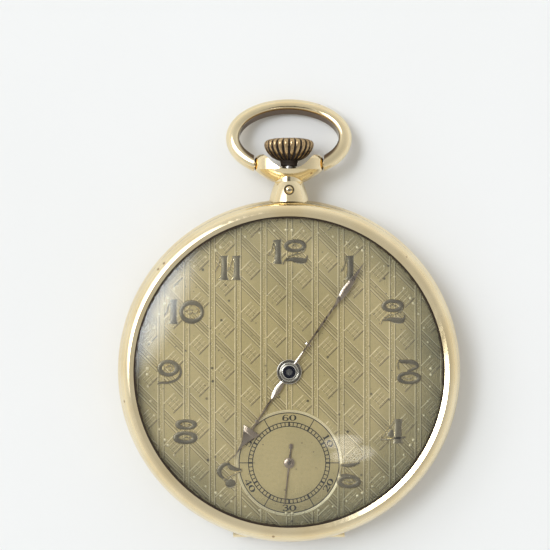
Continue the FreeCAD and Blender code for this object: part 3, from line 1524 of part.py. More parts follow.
ratchet_tip = size("winding_module") * (size("ratchet_teeth") / 2 + 0.85)
CLICK_NOSE = BARREL + polar(ratchet_tip + 0.12, 163.0)
click_level, click_thickness = "ratchet_level", "ratchet_thickness"
link("click", [capsule(CLICK, CLICK_NOSE, 0.75, 0.1)], click_level, click_thickness,
     [(CLICK, 0.22, 1.25, 2.3)])
SPRING_FOOT = CLICK + FreeCAD.Vector(-3.2, -1.2, 0)
SPRING_TIP = CLICK + FreeCAD.Vector(-1.3, 1.5, 0)
link("click_spring", [capsule(SPRING_FOOT, SPRING_FOOT + FreeCAD.Vector(0.4, 0, 0), 0.6, 0.6),
                      capsule(SPRING_FOOT, SPRING_TIP, 0.12, 0.09)], click_level, click_thickness)


# Escapement ---------------------------------------------------------------------------------------
def fork_face():
    """The lever: two pallet arms toward the escape wheel and a notched fork toward the balance."""
    to_escape = bearing(LEVER, ESCAPE)
    to_balance = bearing(LEVER, BALANCE)
    origin = FreeCAD.Vector(0, 0, 0)
    arms = [
        capsule(origin, polar(PALLET_REACH, math.degrees(to_escape) + side * PALLET_SPREAD), 0.42, 0.24)
        for side in (1, -1)
    ]
    reach = size("lever_to_balance") - size("impulse_radius")
    stalk = capsule(origin, polar(reach - 0.2, math.degrees(to_balance)), 0.42, 0.2)
    horns = disc(0.42, *polar(reach - 0.02, math.degrees(to_balance))[:2])
    notch_start = polar(reach + 0.02, math.degrees(to_balance))
    notch_end = polar(reach + 1, math.degrees(to_balance))
    notch = capsule(notch_start, notch_end, 0.15, 0.3)
    return arms[0].multiFuse([arms[1], stalk, horns]).cut(notch).cut(disc(0.16)).removeSplitter()


pallet_at = [ESCAPE + polar(size("escape_radius") + 0.17, math.degrees(bearing(ESCAPE, LEVER)) + side * 30.0)
             for side in (1, -1)]
PALLET_REACH = (pallet_at[0] - LEVER).Length
PALLET_SPREAD = abs(math.degrees(bearing(LEVER, pallet_at[0]) - bearing(LEVER, ESCAPE)))
PALLET_SPREAD = min(PALLET_SPREAD, 360 - PALLET_SPREAD)
fork = raised(fork_face(), "escape_wheel_level", WHEEL)
node("pallet_fork", feature("pallet_fork_body", fork, (LEVER.x, LEVER.y, 0)))


def pallet_stones():
    """Two ruby blocks held under the arms, clear of the teeth while the lever is central."""
    stones = []
    for place in pallet_at:
        block_shape = Part.makeBox(0.42, 0.26, 0.14, FreeCAD.Vector(-0.16, -0.13, 0))
        turn = math.degrees(bearing(ESCAPE, place))
        block_shape.rotate(FreeCAD.Vector(0, 0, 0), FreeCAD.Vector(0, 0, 1), turn)
        block_shape.translate(FreeCAD.Vector(place.x, place.y, size("escape_wheel_level") + size(WHEEL)))
        stones.append(block_shape)
    return Part.makeCompound(stones)


node("pallet_stones", feature("pallet_stone_pair", pallet_stones()))
node("pallet_arbor", feature("pallet_arbor_body", stack(("0.1", "3.56", "4.95"), ("0.16", "3.85", "4.35")),
                             (LEVER.x, LEVER.y, 0)))


BALANCE_ARM_TURN = 20.0


def balance_face():
    rim = disc(size("balance_rim_radius")).cut(disc(size("balance_rim_inner")))
    reach = size("balance_rim_inner") + 0.1
    arm = capsule(polar(reach, BALANCE_ARM_TURN), polar(reach, BALANCE_ARM_TURN + 180), 0.28, 0.28)
    return rim.multiFuse([arm, disc(0.85)]).cut(disc(0.4)).removeSplitter()


balance_rim = raised(balance_face(), "balance_bottom_level", "balance_top_level - balance_bottom_level")
balance_middle = size("balance_bottom_level") / 2 + size("balance_top_level") / 2
screw_turns = [BALANCE_ARM_TURN + 180 * half + 24 + 26.4 * number for half in range(2) for number in range(6)]
rim_holes, rim_screws = [], []
for turn in screw_turns:
    way = polar(1, turn)
    start = way * (size("balance_rim_inner") + 0.15) + FreeCAD.Vector(0, 0, balance_middle)
    rim_holes.append(Part.makeCylinder(0.1, 1, start, way))
    shank = Part.makeCylinder(0.1, 0.6, start, way)
    head_start = way * size("balance_rim_radius") + FreeCAD.Vector(0, 0, balance_middle)
    head = Part.makeCylinder(0.19, size("balance_screw_tip") - size("balance_rim_radius"), head_start, way)
    rim_screws.append(shank.fuse(head).removeSplitter())
node("balance_wheel", feature("balance_rim", balance_rim.cut(Part.makeCompound(rim_holes)),
                              (BALANCE.x, BALANCE.y, 0)))
node("balance_screws", feature("balance_screw_set", Part.makeCompound(rim_screws), (BALANCE.x, BALANCE.y, 0)))
node("balance_staff", feature("balance_staff_body", stack(
    ("0.1", "1.6", "4.95"), ("0.28", "2.4", "4.5"), ("0.4", "2.9", "3.45"), ("0.7", "3.35", "3.5")),
    (BALANCE.x, BALANCE.y, 0)))
roller_disc = Part.makeCylinder(1.2, 0.13, FreeCAD.Vector(0, 0, 3.82)).cut(
    Part.makeCylinder(0.28, 2, FreeCAD.Vector(0, 0, 3)))
pin_way = bearing(BALANCE, LEVER)
pin_place = polar(size("impulse_radius"), math.degrees(pin_way)) + FreeCAD.Vector(0, 0, 3.9)
impulse_pin = Part.makeCylinder(0.1, 0.32, pin_place)
roller_solid = roller_disc.fuse(impulse_pin).removeSplitter()
node("roller", feature("roller_body", roller_solid, (BALANCE.x, BALANCE.y, 0)))
collet = Part.makeCylinder(0.62, 0.32, FreeCAD.Vector(0, 0, 2.45)).cut(
    Part.makeCylinder(0.28, 2, FreeCAD.Vector(0, 0, 2)))
coil = raised(spiral(0.6, size("hairspring_radius"), size("hairspring_turns"), size("hairspring_thickness")),
              "hairspring_level", "hairspring_height")
node("hairspring", feature("hairspring_coil", collet.fuse(coil).removeSplitter(), (BALANCE.x, BALANCE.y, 0)))
stud_place = BALANCE + polar(size("hairspring_radius") + 0.45, math.degrees(bearing(BALANCE, COCK_FOOT)) + 20)
cock_underside = size("bridge_top_level") - 0.15
node("hairspring_stud", feature("stud_post", Part.makeCylinder(
    0.25, 0.42, FreeCAD.Vector(stud_place.x, stud_place.y, cock_underside))))
regulator_ring = disc(2.0).cut(disc(1.2))
regulator_way = math.degrees(bearing(BALANCE, COCK_FOOT)) + 12
regulator_tail = capsule(polar(1.8, regulator_way), polar(5.6, regulator_way), 0.35, 0.14)
regulator_face = regulator_ring.fuse(regulator_tail.cut(disc(1.3))).removeSplitter()
regulator_solid = raised(regulator_face, "bridge_bottom_level - 0.19", "0.17")
node("regulator", feature("regulator_body", regulator_solid, (BALANCE.x, BALANCE.y, 0)))


# Motion works and keyless works -------------------------------------------------------------------
cannon_phase = 0.2
minute_phase = meshed(CENTRE, MINUTE_WHEEL, "cannon_leaves", cannon_phase, "minute_wheel_teeth")
minute_leaf_phase = 0.7
hour_phase = meshed(MINUTE_WHEEL, CENTRE, "minute_wheel_leaves", minute_leaf_phase, "hour_wheel_teeth")
setting_phase = meshed(MINUTE_WHEEL, SETTING_WHEEL, "minute_wheel_teeth", minute_phase, "setting_wheel_teeth")
cannon_gear = raised(toothed(int(size("cannon_leaves")), size("motion_module"), cannon_phase, 0.75, 1.1),
                     "motion_wheel_level", "0.34")
cannon_body = stack(("cannon_radius", "motion_wheel_level", "cannon_top_level")).fuse(cannon_gear)
cannon_body = cannon_body.cut(stack(("cannon_bore", "motion_wheel_level - 1", "cannon_top_level + 1")))
node("cannon_pinion", feature("cannon_body", cannon_body.removeSplitter()))
motion_bore = size("motion_wheel_bore")
minute_face = toothed(int(size("minute_wheel_teeth")), size("motion_module"), minute_phase)
minute_face = crossed_wheel(minute_face, 1.5, 2.7, motion_bore, 4, 0.25, minute_phase)
minute_gear = raised(minute_face, "motion_wheel_level", WHEEL)
leaf_face = toothed(int(size("minute_wheel_leaves")), size("hour_module"), minute_leaf_phase, 0.75, 1.1)
minute_leaves = raised(leaf_face.cut(disc(motion_bore)), "motion_wheel_level + wheel_thickness", "0.72")
node("minute_wheel", feature("minute_wheel_body", minute_gear.fuse(minute_leaves).removeSplitter(),
                             (MINUTE_WHEEL.x, MINUTE_WHEEL.y, 0)))
hour_face = toothed(int(size("hour_wheel_teeth")), size("hour_module"), hour_phase)
hour_pipe_top = "hour_hand_level + hand_thickness + hand_boss_rise"
hour_body = raised(hour_face, "hour_wheel_level", WHEEL)
hour_body = hour_body.fuse(stack(("hour_pipe_radius", "hour_wheel_level", hour_pipe_top)))
hour_body = hour_body.cut(stack(("hour_pipe_bore", "hour_wheel_level - 1", hour_pipe_top + " + 1")))
node("hour_wheel", feature("hour_wheel_body", hour_body.removeSplitter()))
setting_face = toothed(int(size("setting_wheel_teeth")), size("motion_module"), setting_phase)
setting_gear = raised(setting_face.cut(disc(motion_bore)), "motion_wheel_level", WHEEL)
node("setting_wheel", feature("setting_wheel_body", setting_gear, (SETTING_WHEEL.x, SETTING_WHEEL.y, 0)))

stem_turned = stack(
    ("0.4", "12.6", "14.2"),
    ("stem_radius", "pinion_start - 0.25", "18.1"),
    ("0.32", "18.0", "18.65"),
    ("stem_radius", "18.6", "crown_foot_offset + 1.95"),
)
half_square = size("stem_square") / 2
square_corner = FreeCAD.Vector(-half_square, -half_square, 14.1)
stem_flat = Part.makeBox(2 * half_square, 2 * half_square, 2.9, square_corner)
stem_piece = DOC.addObject("Part::Feature", "stem_body")
stem_piece.Shape = stem_turned.fuse(stem_flat).removeSplitter()
stem_piece.Placement = along_stem()
node("winding_stem", stem_piece)

square_hole = Part.makeBox(2 * half_square + 0.08, 2 * half_square + 0.08, 4,
                           FreeCAD.Vector(-half_square - 0.04, -half_square - 0.04, -1))
pinion_gear = toothed(int(size("winding_leaves")), size("winding_module"), math.radians(90), 0.68, 0.9)
pinion_solid = pinion_gear.extrude(FreeCAD.Vector(0, 0, size("pinion_length")))
pinion_solid = pinion_solid.cut(Part.makeCylinder(size("stem_radius") + 0.03, 4, FreeCAD.Vector(0, 0, -1)))
pinion_piece = DOC.addObject("Part::Feature", "winding_pinion_body")
pinion_piece.Shape = pinion_solid
pinion_piece.Placement = along_stem("pinion_start")
node("winding_pinion", pinion_piece)


def clutch_solid():
    """The sliding clutch: a grooved sleeve on the stem's square with face teeth at both ends."""
    radius = size("clutch_radius")
    length = size("clutch_length")
    sleeve = Part.makeCylinder(radius, length)
    neck = Part.makeCylinder(radius + 1, 0.5, FreeCAD.Vector(0, 0, 0.6)).cut(
        Part.makeCylinder(size("clutch_groove_radius"), 0.5, FreeCAD.Vector(0, 0, 0.6)))
    gashes = []
    for number in range(12):
        for level in (-0.1, length - 0.15):
            gash = Part.makeBox(radius + 1, 0.3, 0.25, FreeCAD.Vector(0.9, -0.15, level))
            gash.rotate(FreeCAD.Vector(0, 0, 0), FreeCAD.Vector(0, 0, 1), 30 * number)
            gashes.append(gash)
    return sleeve.cut(Part.makeCompound(gashes + [neck, square_hole]))


clutch_piece = DOC.addObject("Part::Feature", "clutch_body")
clutch_piece.Shape = clutch_solid()
clutch_piece.Placement = along_stem("clutch_start")
node("sliding_clutch", clutch_piece)

SETTING_PIVOT = FreeCAD.Vector(4.0, 17.4, 0)
SETTING_PIN = FreeCAD.Vector(0.0, 18.33, 0)
YOKE_PIVOT = FreeCAD.Vector(-4.6, 14.6, 0)
YOKE_PIN = FreeCAD.Vector(0.0, 15.85, 0)
YOKE_TAIL = FreeCAD.Vector(-6.0, 16.2, 0)
LEVER_TAIL = FreeCAD.Vector(5.2, 14.6, 0)
link("setting_lever",
     [capsule(SETTING_PIVOT, SETTING_PIN, 0.65, 0.35), capsule(SETTING_PIVOT, LEVER_TAIL, 0.6, 0.3)],
     "lever_level", "lever_thickness", [(SETTING_PIN, 0.17, 4.95, 6.1), (SETTING_PIVOT, 0.3, 5.86, 6.1)])
link("yoke", [capsule(YOKE_PIVOT, YOKE_PIN, 0.6, 0.32), capsule(YOKE_PIVOT, YOKE_TAIL, 0.5, 0.25)],
     "lever_level", "lever_thickness", [(YOKE_PIN, 0.17, 5.5, 6.1), (YOKE_PIVOT, 0.3, 5.86, 6.1)])
SPRING_ROOT = FreeCAD.Vector(-7.5, 13.2, 0)
SPRING_NOSE = FreeCAD.Vector(-7.0, 16.3, 0)
SPRING_HEEL = SPRING_ROOT + FreeCAD.Vector(-1.6, -0.6, 0)
link("setting_spring",
     [capsule(SPRING_ROOT, SPRING_HEEL, 0.7, 0.6), capsule(SPRING_ROOT, SPRING_NOSE, 0.16, 0.1)],
     "lever_level - 0.2", "lever_thickness + 0.2")


# Checks and export --------------------------------------------------------------------------------
DOC.recompute()
for thing in DOC.Objects:
    if "Invalid" in thing.State or "Error" in thing.State:
        raise RuntimeError("%s did not build: %s" % (thing.Name, thing.State))
os.makedirs("parts", exist_ok=True)
for label, thing in NODES.items():
    shape = thing.Shape
    if shape.isNull() or not shape.isValid() or not shape.Solids:
        raise RuntimeError("%s has no valid shape" % label)
for label, thing in NODES.items():
    thing.Shape.exportStep("parts/%s.step" % label)
    box = thing.Shape.BoundBox
    print("%-18s %2d solids %9.3f mm3  x %.2f..%.2f  y %.2f..%.2f  z %.2f..%.2f" % (
        label, len(thing.Shape.Solids), thing.Shape.Volume, box.XMin, box.XMax, box.YMin, box.YMax,
        box.ZMin, box.ZMax))
print(len(NODES), "nodes")
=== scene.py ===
"""Open face pocket watch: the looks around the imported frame.

Lengths are written in millimetres, and MM or mm() turns them into metres. Places come from the frame's own
boxes and from a few sizes of the dial's decoration, all measured from the dial's axis.
"""

import math
import random

import bmesh
import bpy
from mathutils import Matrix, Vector


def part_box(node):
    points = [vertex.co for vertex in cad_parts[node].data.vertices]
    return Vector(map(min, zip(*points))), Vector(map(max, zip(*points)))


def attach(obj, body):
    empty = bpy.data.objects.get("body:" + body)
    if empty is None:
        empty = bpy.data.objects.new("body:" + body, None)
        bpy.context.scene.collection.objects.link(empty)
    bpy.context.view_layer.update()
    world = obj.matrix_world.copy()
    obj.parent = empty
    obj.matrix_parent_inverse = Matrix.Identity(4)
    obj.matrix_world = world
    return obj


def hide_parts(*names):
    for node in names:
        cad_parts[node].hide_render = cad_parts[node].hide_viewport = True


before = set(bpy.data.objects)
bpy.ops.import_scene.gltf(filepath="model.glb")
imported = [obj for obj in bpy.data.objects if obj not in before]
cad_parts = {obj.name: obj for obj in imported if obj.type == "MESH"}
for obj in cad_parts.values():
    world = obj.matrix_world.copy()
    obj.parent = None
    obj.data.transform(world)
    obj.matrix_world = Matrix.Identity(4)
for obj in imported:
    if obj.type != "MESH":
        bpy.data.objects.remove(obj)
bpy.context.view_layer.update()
MM = 0.001
TURN = 2 * math.pi


def mm(*numbers):
    return tuple(n * MM for n in numbers)


def low(node):
    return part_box(node)[0]


def high(node):
    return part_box(node)[1]


# Camera and light --------------------------------------------
CAMERA_PLACE = mm(-1.92, 13.11, 220.0)
CAMERA_ANGLE = 19.9
CLIP_NEAR, CLIP_FAR = 0.01, 20.0


def make_camera():
    """Straight down on the watch, from hand height, with 12 o'clock up."""
    data = bpy.data.cameras.new("camera")
    camera = bpy.data.objects.new("camera", data)
    bpy.context.scene.collection.objects.link(camera)
    camera.location = CAMERA_PLACE
    data.angle = math.radians(CAMERA_ANGLE)
    data.clip_start, data.clip_end = CLIP_NEAR, CLIP_FAR
    bpy.context.scene.camera = camera


# Soft patches of the room's light: direction, half widths in degrees along and across, turn in radians,
# radiance, colour, and the share of the patch inside its soft edge
WINDOW = ((-0.568, 0.302, 0.766), (27.0, 22.0), 0.0, 3.0, (0.94, 0.95, 1.0), 0.45)
PANE = ((-0.450, 0.182, 0.875), (20.0, 9.5), 0.0, 12.0, (0.88, 0.94, 1.0), 0.1)
LAMP = ((0.172, -0.273, 0.947), (4.0, 1.5), -0.48, 5.2, (1.0, 0.97, 0.92), 0.3)
SKY_TOP, SKY_SIDE, SKY_BELOW = 0.57, 0.93, 0.5
SKY_COLOUR = (1.0, 0.995, 0.975)
SKY_BRIGHT_SIDE = (-0.8, 0.6, 0)
SKY_DIM, SKY_BRIGHT = 0.90, 1.08
# The camera's dark shape overhead: its level, and the cosines of its outer and inner reach
CAMERA_SHADE, SHADE_EDGE, SHADE_CORE = 0.16, math.cos(math.radians(17)), math.cos(math.radians(5))


class Nodes:
    """Short names for the node work that the world and the materials share."""

    def node(self, kind, **settings):
        made = self.tree.nodes.new(kind)
        for key, value in settings.items():
            setattr(made, key, value)
        return made

    def link(self, source, target):
        self.tree.links.new(source, target)

    def feed(self, value, target):
        """Sets a socket to a number, or links a socket to it."""
        if isinstance(value, (int, float)):
            target.default_value = value
        elif isinstance(value, tuple):
            target.default_value = (*value, 1)
        else:
            self.link(value, target)

    def maths(self, operation, first, second):
        made = self.node("ShaderNodeMath", operation=operation)
        for socket, value in zip(made.inputs, (first, second)):
            self.feed(value, socket)
        return made.outputs[0]

    def remap(self, source, a, b, low_value, high_value, interpolation="LINEAR"):
        made = self.node("ShaderNodeMapRange", interpolation_type=interpolation)
        for socket, value in zip(("From Min", "From Max", "To Min", "To Max"), (a, b, low_value, high_value)):
            made.inputs[socket].default_value = value
        self.link(source, made.inputs["Value"])
        return made.outputs[0]

    def blend(self, share, first, second):
        """A colour between two, each a colour or a socket."""
        made = self.node("ShaderNodeMix", data_type="RGBA")
        self.link(share, made.inputs["Factor"])
        first_socket, second_socket = [s for s in made.inputs if s.type == "RGBA"]
        self.feed(first, first_socket)
        self.feed(second, second_socket)
        return [s for s in made.outputs if s.type == "RGBA"][0]


class Room(Nodes):
    """The world's colour, worked out from the direction of each ray."""

    def __init__(self):
        world = bpy.data.worlds.new("room")
        bpy.context.scene.world = world
        world.use_nodes = True
        self.tree = world.node_tree
        self.background = self.tree.nodes["Background"]
        self.way = self.node("ShaderNodeTexCoord").outputs["Generated"]

    def dot(self, direction):
        made = self.node("ShaderNodeVectorMath", operation="DOT_PRODUCT")
        self.link(self.way, made.inputs[0])
        made.inputs[1].default_value = direction
        return made.outputs["Value"]

    def soft_step(self, source, a, b, first, last):
        return self.remap(source, a, b, first, last, "SMOOTHSTEP")

    def patch(self, colour, direction, widths, turn, radiance, tint, core):
        """Lays an oval patch of light with a soft edge over a colour."""
        middle = Vector(direction).normalized()
        across = Vector((0, 0, 1)).cross(middle).normalized()
        upward = middle.cross(across)
        first = across * math.cos(turn) + upward * math.sin(turn)
        second = upward * math.cos(turn) - across * math.sin(turn)
        parts = []
        for axis, width in ((first, widths[0]), (second, widths[1])):
            share = self.maths("DIVIDE", self.dot(axis), math.sin(math.radians(width)))
            parts.append(self.maths("MULTIPLY", share, share))
        reach = self.maths("ADD", *parts)
        lit = self.soft_step(reach, 1.0, core, 0.0, 1.0)
        lit = self.maths("MULTIPLY", lit, self.soft_step(self.dot(middle), 0.0, 0.1, 0.0, 1.0))
        return self.blend(lit, colour, tuple(radiance * c for c in tint))


def make_lights():
    """A pale room with a big soft window at the upper left, a small lamp, and the dark camera overhead."""
    room = Room()
    height = room.dot((0, 0, 1))
    side = room.dot(SKY_BRIGHT_SIDE)
    level = room.soft_step(height, 0.05, 0.95, SKY_SIDE, SKY_TOP)
    level = room.maths("MULTIPLY", level, room.soft_step(side, -1.0, 1.0, SKY_DIM, SKY_BRIGHT))
    level = room.maths("MULTIPLY", level, room.soft_step(height, -1.0, -0.1, SKY_BELOW, 1.0))
    shade = room.soft_step(height, SHADE_EDGE, SHADE_CORE, 1.0, CAMERA_SHADE)
    level = room.maths("MULTIPLY", level, shade)
    colour = room.blend(level, (0.0, 0.0, 0.0), SKY_COLOUR)
    for patch in (WINDOW, PANE, LAMP):
        colour = room.patch(colour, *patch)
    room.link(colour, room.background.inputs["Color"])
    bpy.context.scene.view_settings.view_transform = "Standard"


FLOOR_HALF = 0.6
FLOOR_CELLS = 60
FLOOR_GAP = 0.00002
FLOOR_FALL = 0.0006


def make_floor(paint):
    """A sheet of white card that the watch lies on, falling away very slightly towards its edges."""
    shape = bmesh.new()
    bmesh.ops.create_grid(shape, x_segments=FLOOR_CELLS, y_segments=FLOOR_CELLS, size=FLOOR_HALF)
    for vertex in shape.verts:
        x, y = vertex.co.x, vertex.co.y
        vertex.co.z = -FLOOR_GAP - FLOOR_FALL * (x * x + y * y)
    data = bpy.data.meshes.new("card")
    shape.to_mesh(data)
    shape.free()
    data.shade_smooth()
    floor = bpy.data.objects.new("card", data)
    bpy.context.scene.collection.objects.link(floor)
    data.materials.append(paint)


# Materials ---------------------------------------------------
class Paint(Nodes):
    """A material with a Principled shader, whose textures stay with the object."""

    def __init__(self, name, **sockets):
        self.material = bpy.data.materials.new(name)
        self.material.use_nodes = True
        self.tree = self.material.node_tree
        self.shader = self.tree.nodes["Principled BSDF"]
        self.output = self.tree.nodes["Material Output"]
        for socket, value in sockets.items():
            self.shader.inputs[socket.replace("_", " ")].default_value = value
        self.place = self.node("ShaderNodeTexCoord").outputs["Object"]

    def scattered(self, kind, per_mm, stretch):
        """A texture with about so many features to a millimetre, drawn out along each axis by stretch."""
        mapping = self.node("ShaderNodeMapping")
        mapping.inputs["Scale"].default_value = [per_mm / MM * s for s in stretch]
        self.link(self.place, mapping.inputs["Vector"])
        texture = self.node(kind)
        texture.inputs["Scale"].default_value = 1.0
        self.link(mapping.outputs[0], texture.inputs["Vector"])
        return texture

    def noise(self, per_mm, detail=3.0, stretch=(1, 1, 1)):
        """Noise from 0 to 1."""
        noise = self.scattered("ShaderNodeTexNoise", per_mm, stretch)
        noise.inputs["Detail"].default_value = detail
        return noise.outputs["Fac"]

    def specks(self, per_mm, size, stretch=(1, 1, 1)):
        """1 inside small round spots, else 0."""
        cells = self.scattered("ShaderNodeTexVoronoi", per_mm, stretch)
        return self.remap(cells.outputs["Distance"], size, size * 0.55, 0.0, 1.0)

    def slow(self, per_mm, detail=3.0, first=0.35, last=0.7):
        """Slow change from 0 to 1, between two levels of a noise."""
        return self.remap(self.noise(per_mm, detail), first, last, 0.0, 1.0)

    def colour(self, source):
        self.link(source, self.shader.inputs["Base Color"])

    def rough(self, source):
        self.link(source, self.shader.inputs["Roughness"])

    def bump(self, height, depth_mm):
        """Adds relief on top of any relief that the shader has already."""
        made = self.node("ShaderNodeBump")
        made.inputs["Strength"].default_value = 1.0
        made.inputs["Distance"].default_value = depth_mm * MM
        self.link(height, made.inputs["Height"])
        before = self.shader.inputs["Normal"]
        if before.is_linked:
            self.link(before.links[0].from_socket, made.inputs["Normal"])
        self.link(made.outputs[0], before)

    def plan_from(self, x, y):
        """The place in plan, measured in metres from a point."""
        shift = self.node("ShaderNodeVectorMath", operation="SUBTRACT")
        shift.inputs[1].default_value = (x, y, 0)
        self.link(self.place, shift.inputs[0])
        split = self.node("ShaderNodeSeparateXYZ")
        self.link(shift.outputs[0], split.inputs[0])
        return split.outputs["X"], split.outputs["Y"]

    def squares(self, first, second):
        """The sum of two squares."""
        return self.maths("ADD", self.maths("MULTIPLY", first, first), self.maths("MULTIPLY", second, second))

    def reach(self, x=0.0, y=0.0):
        """The distance in plan from a point, in metres."""
        return self.maths("POWER", self.squares(*self.plan_from(x, y)), 0.5)

    def mixed(self, share, first, second):
        """Shows one shader or another, by share."""
        made = self.node("ShaderNodeMixShader")
        self.link(share, made.inputs[0])
        self.link(first, made.inputs[1])
        self.link(second, made.inputs[2])
        return made.outputs[0]


def worn_metal(name, bright, dull, roughness, spread=0.06, grain=2.2, depth=0.004, **sockets):
    """Polished or brushed metal with slow tarnish, fine scratches and a faint unevenness."""
    paint = Paint(name, Metallic=1.0, **sockets)
    paint.colour(paint.blend(paint.slow(0.22, 4.0), bright, dull))
    fine = paint.noise(grain, 5.0, (1.0, 0.25, 1.0))
    paint.rough(paint.remap(fine, 0.3, 0.75, roughness - spread / 2, roughness + spread))
    paint.bump(paint.noise(grain * 1.6, 3.0), depth)
    return paint.material


def gold_paint(name, inner_wall_shade=False):
    """Gold-filled case metal, rubbed pale in places, with a few dark marks; for the bow, painted shade on its
    inner wall.
    """
    paint = Paint(name, Metallic=1.0)
    body = paint.blend(paint.slow(0.16, 4.0, 0.38, 0.68), (0.88, 0.755, 0.50), (0.82, 0.67, 0.40))
    body = paint.blend(paint.specks(0.35, 0.09), body, (0.42, 0.30, 0.17))
    if inner_wall_shade:
        # painted shade: the bow's inner wall turns dark brown, as if it mirrored the shaded card beside the
        # wire
        body = paint.blend(bow_wall(paint), body, (0.13, 0.085, 0.05))
    paint.colour(body)
    rub = paint.noise(3.0, 6.0, (1.0, 0.2, 1.0))
    paint.rough(paint.remap(rub, 0.3, 0.75, 0.10, 0.2))
    paint.bump(paint.noise(0.5, 2.0), 0.006)
    paint.bump(paint.noise(6.0, 2.0), 0.0012)
    return paint.material


# The middle of the bow's oval, half the length of its centre line, and the wire outside that line
BOW_MIDDLE, BOW_HALF_LENGTH, BOW_OUTER_REACH = 32.02, 4.7, 0.86


def bow_wall(paint):
    """1 on the bow's inner wall and 0 elsewhere, from the place's share of the bow's mean ellipse."""
    wide = (high("bow").x - low("bow").x) / 2 - BOW_OUTER_REACH * MM
    x, y = paint.plan_from(0, BOW_MIDDLE * MM)
    across = paint.maths("DIVIDE", x, wide)
    along = paint.maths("DIVIDE", y, BOW_HALF_LENGTH * MM)
    return paint.remap(paint.squares(across, along), 0.84, 0.76, 0.0, 1.0)


def crown_paint():
    """The gold of the crown's ribs, worn and browned."""
    paint = Paint("crown_gold", Metallic=1.0)
    paint.colour(paint.blend(paint.slow(0.9, 4.0), (0.60, 0.43, 0.23), (0.36, 0.25, 0.13)))
    paint.rough(paint.remap(paint.noise(4.0, 4.0), 0.3, 0.7, 0.2, 0.38))
    paint.bump(paint.noise(7.0, 3.0), 0.004)
    return paint.material


def grime_paint():
    """Near-black paint: old dirt in the crown's grooves and the screw's slot, and painted shade where it
    spreads over the crown's lower half.
    """
    paint = Paint("groove_grime_and_shade", Roughness=0.8)
    paint.colour(paint.blend(paint.slow(1.8, 4.0, 0.3), (0.016, 0.011, 0.007), (0.05, 0.03, 0.017)))
    paint.bump(paint.noise(8.0, 3.0), 0.01)
    return paint.material


# Painted shade at the crystal's rim: where it starts, where it is full, and how far its edge wavers
RIM_SHADE_INNER, RIM_SHADE_OUTER, RIM_SHADE_WAVER = mm(20.66, 20.9, 0.12)


def glass_paint():
    """Clear crystal with a few scuffs, and a ragged dark ring at its rim: painted shade where it meets the
    bezel.

    What the camera sees through it is bent at both faces. Light from the room or from another surface passes
    straight through, so that the dial is lit.
    """
    paint = Paint("crystal_glass", Roughness=0.015, IOR=1.48, Transmission_Weight=1.0)
    paint.shader.inputs["Base Color"].default_value = (0.985, 0.99, 0.98, 1)
    scuffs = paint.specks(0.5, 0.05, (1.0, 0.12, 1.0))
    paint.rough(paint.remap(scuffs, 0.0, 1.0, 0.015, 0.12))
    waver = paint.remap(paint.noise(0.9, 4.0), 0.3, 0.7, -RIM_SHADE_WAVER, RIM_SHADE_WAVER)
    # painted shade: an opaque dark brown ring on the glass, just inside the bezel
    rim_shade_share = paint.remap(paint.maths("ADD", paint.reach(), waver), RIM_SHADE_INNER, RIM_SHADE_OUTER, 0.0, 1.0)
    rim_shade = paint.node("ShaderNodeBsdfDiffuse")
    rim_shade.inputs["Color"].default_value = (0.045, 0.032, 0.022, 1)
    clear = paint.node("ShaderNodeBsdfTransparent")
    clear.inputs["Color"].default_value = (0.95, 0.955, 0.945, 1)
    path = paint.node("ShaderNodeLightPath").outputs
    # inside: just come through a face, or come through one face and not yet the other
    entered = paint.maths("GREATER_THAN", path["Transmission Depth"], 0.5)
    not_left = paint.maths("LESS_THAN", path["Transmission Depth"], 1.5)
    inside = paint.maths("MULTIPLY", entered, not_left)
    inside = paint.maths("MAXIMUM", inside, path["Is Transmission Ray"])
    mirrored = paint.maths("MULTIPLY", path["Is Glossy Ray"], paint.maths("SUBTRACT", 1.0, inside))
    bounced = paint.maths("MAXIMUM", path["Is Shadow Ray"], path["Is Diffuse Ray"])
    bounced = paint.maths("MAXIMUM", bounced, mirrored)
    glass = paint.mixed(bounced, paint.shader.outputs[0], clear.outputs[0])
    paint.link(paint.mixed(rim_shade_share, glass, rim_shade.outputs[0]), paint.output.inputs["Surface"])
    return paint.material


# The middle of the dial's pale part, up and left of the axis, where the painted shade towards the rim starts
# and where it is full, and where its stippled rim starts
PALE_X, PALE_Y, PALE_EDGE, DARK_EDGE = mm(-1.8, 1.2, 15.5, 22.6)
STIPPLE_INNER, STIPPLE_OUTER = mm(16.6, 18.2)
SPOT_COLOUR = (0.06, 0.048, 0.03)


def age_spots(paint, per_mm, size, cloud_per_mm, cloud_start, cloud_full, strength):
    """Small spots, only where a slow cloud is dense enough."""
    cloud = paint.remap(paint.noise(cloud_per_mm, 2.0), cloud_start, cloud_full, 0.0, strength)
    return paint.maths("MULTIPLY", paint.specks(per_mm, size), cloud)


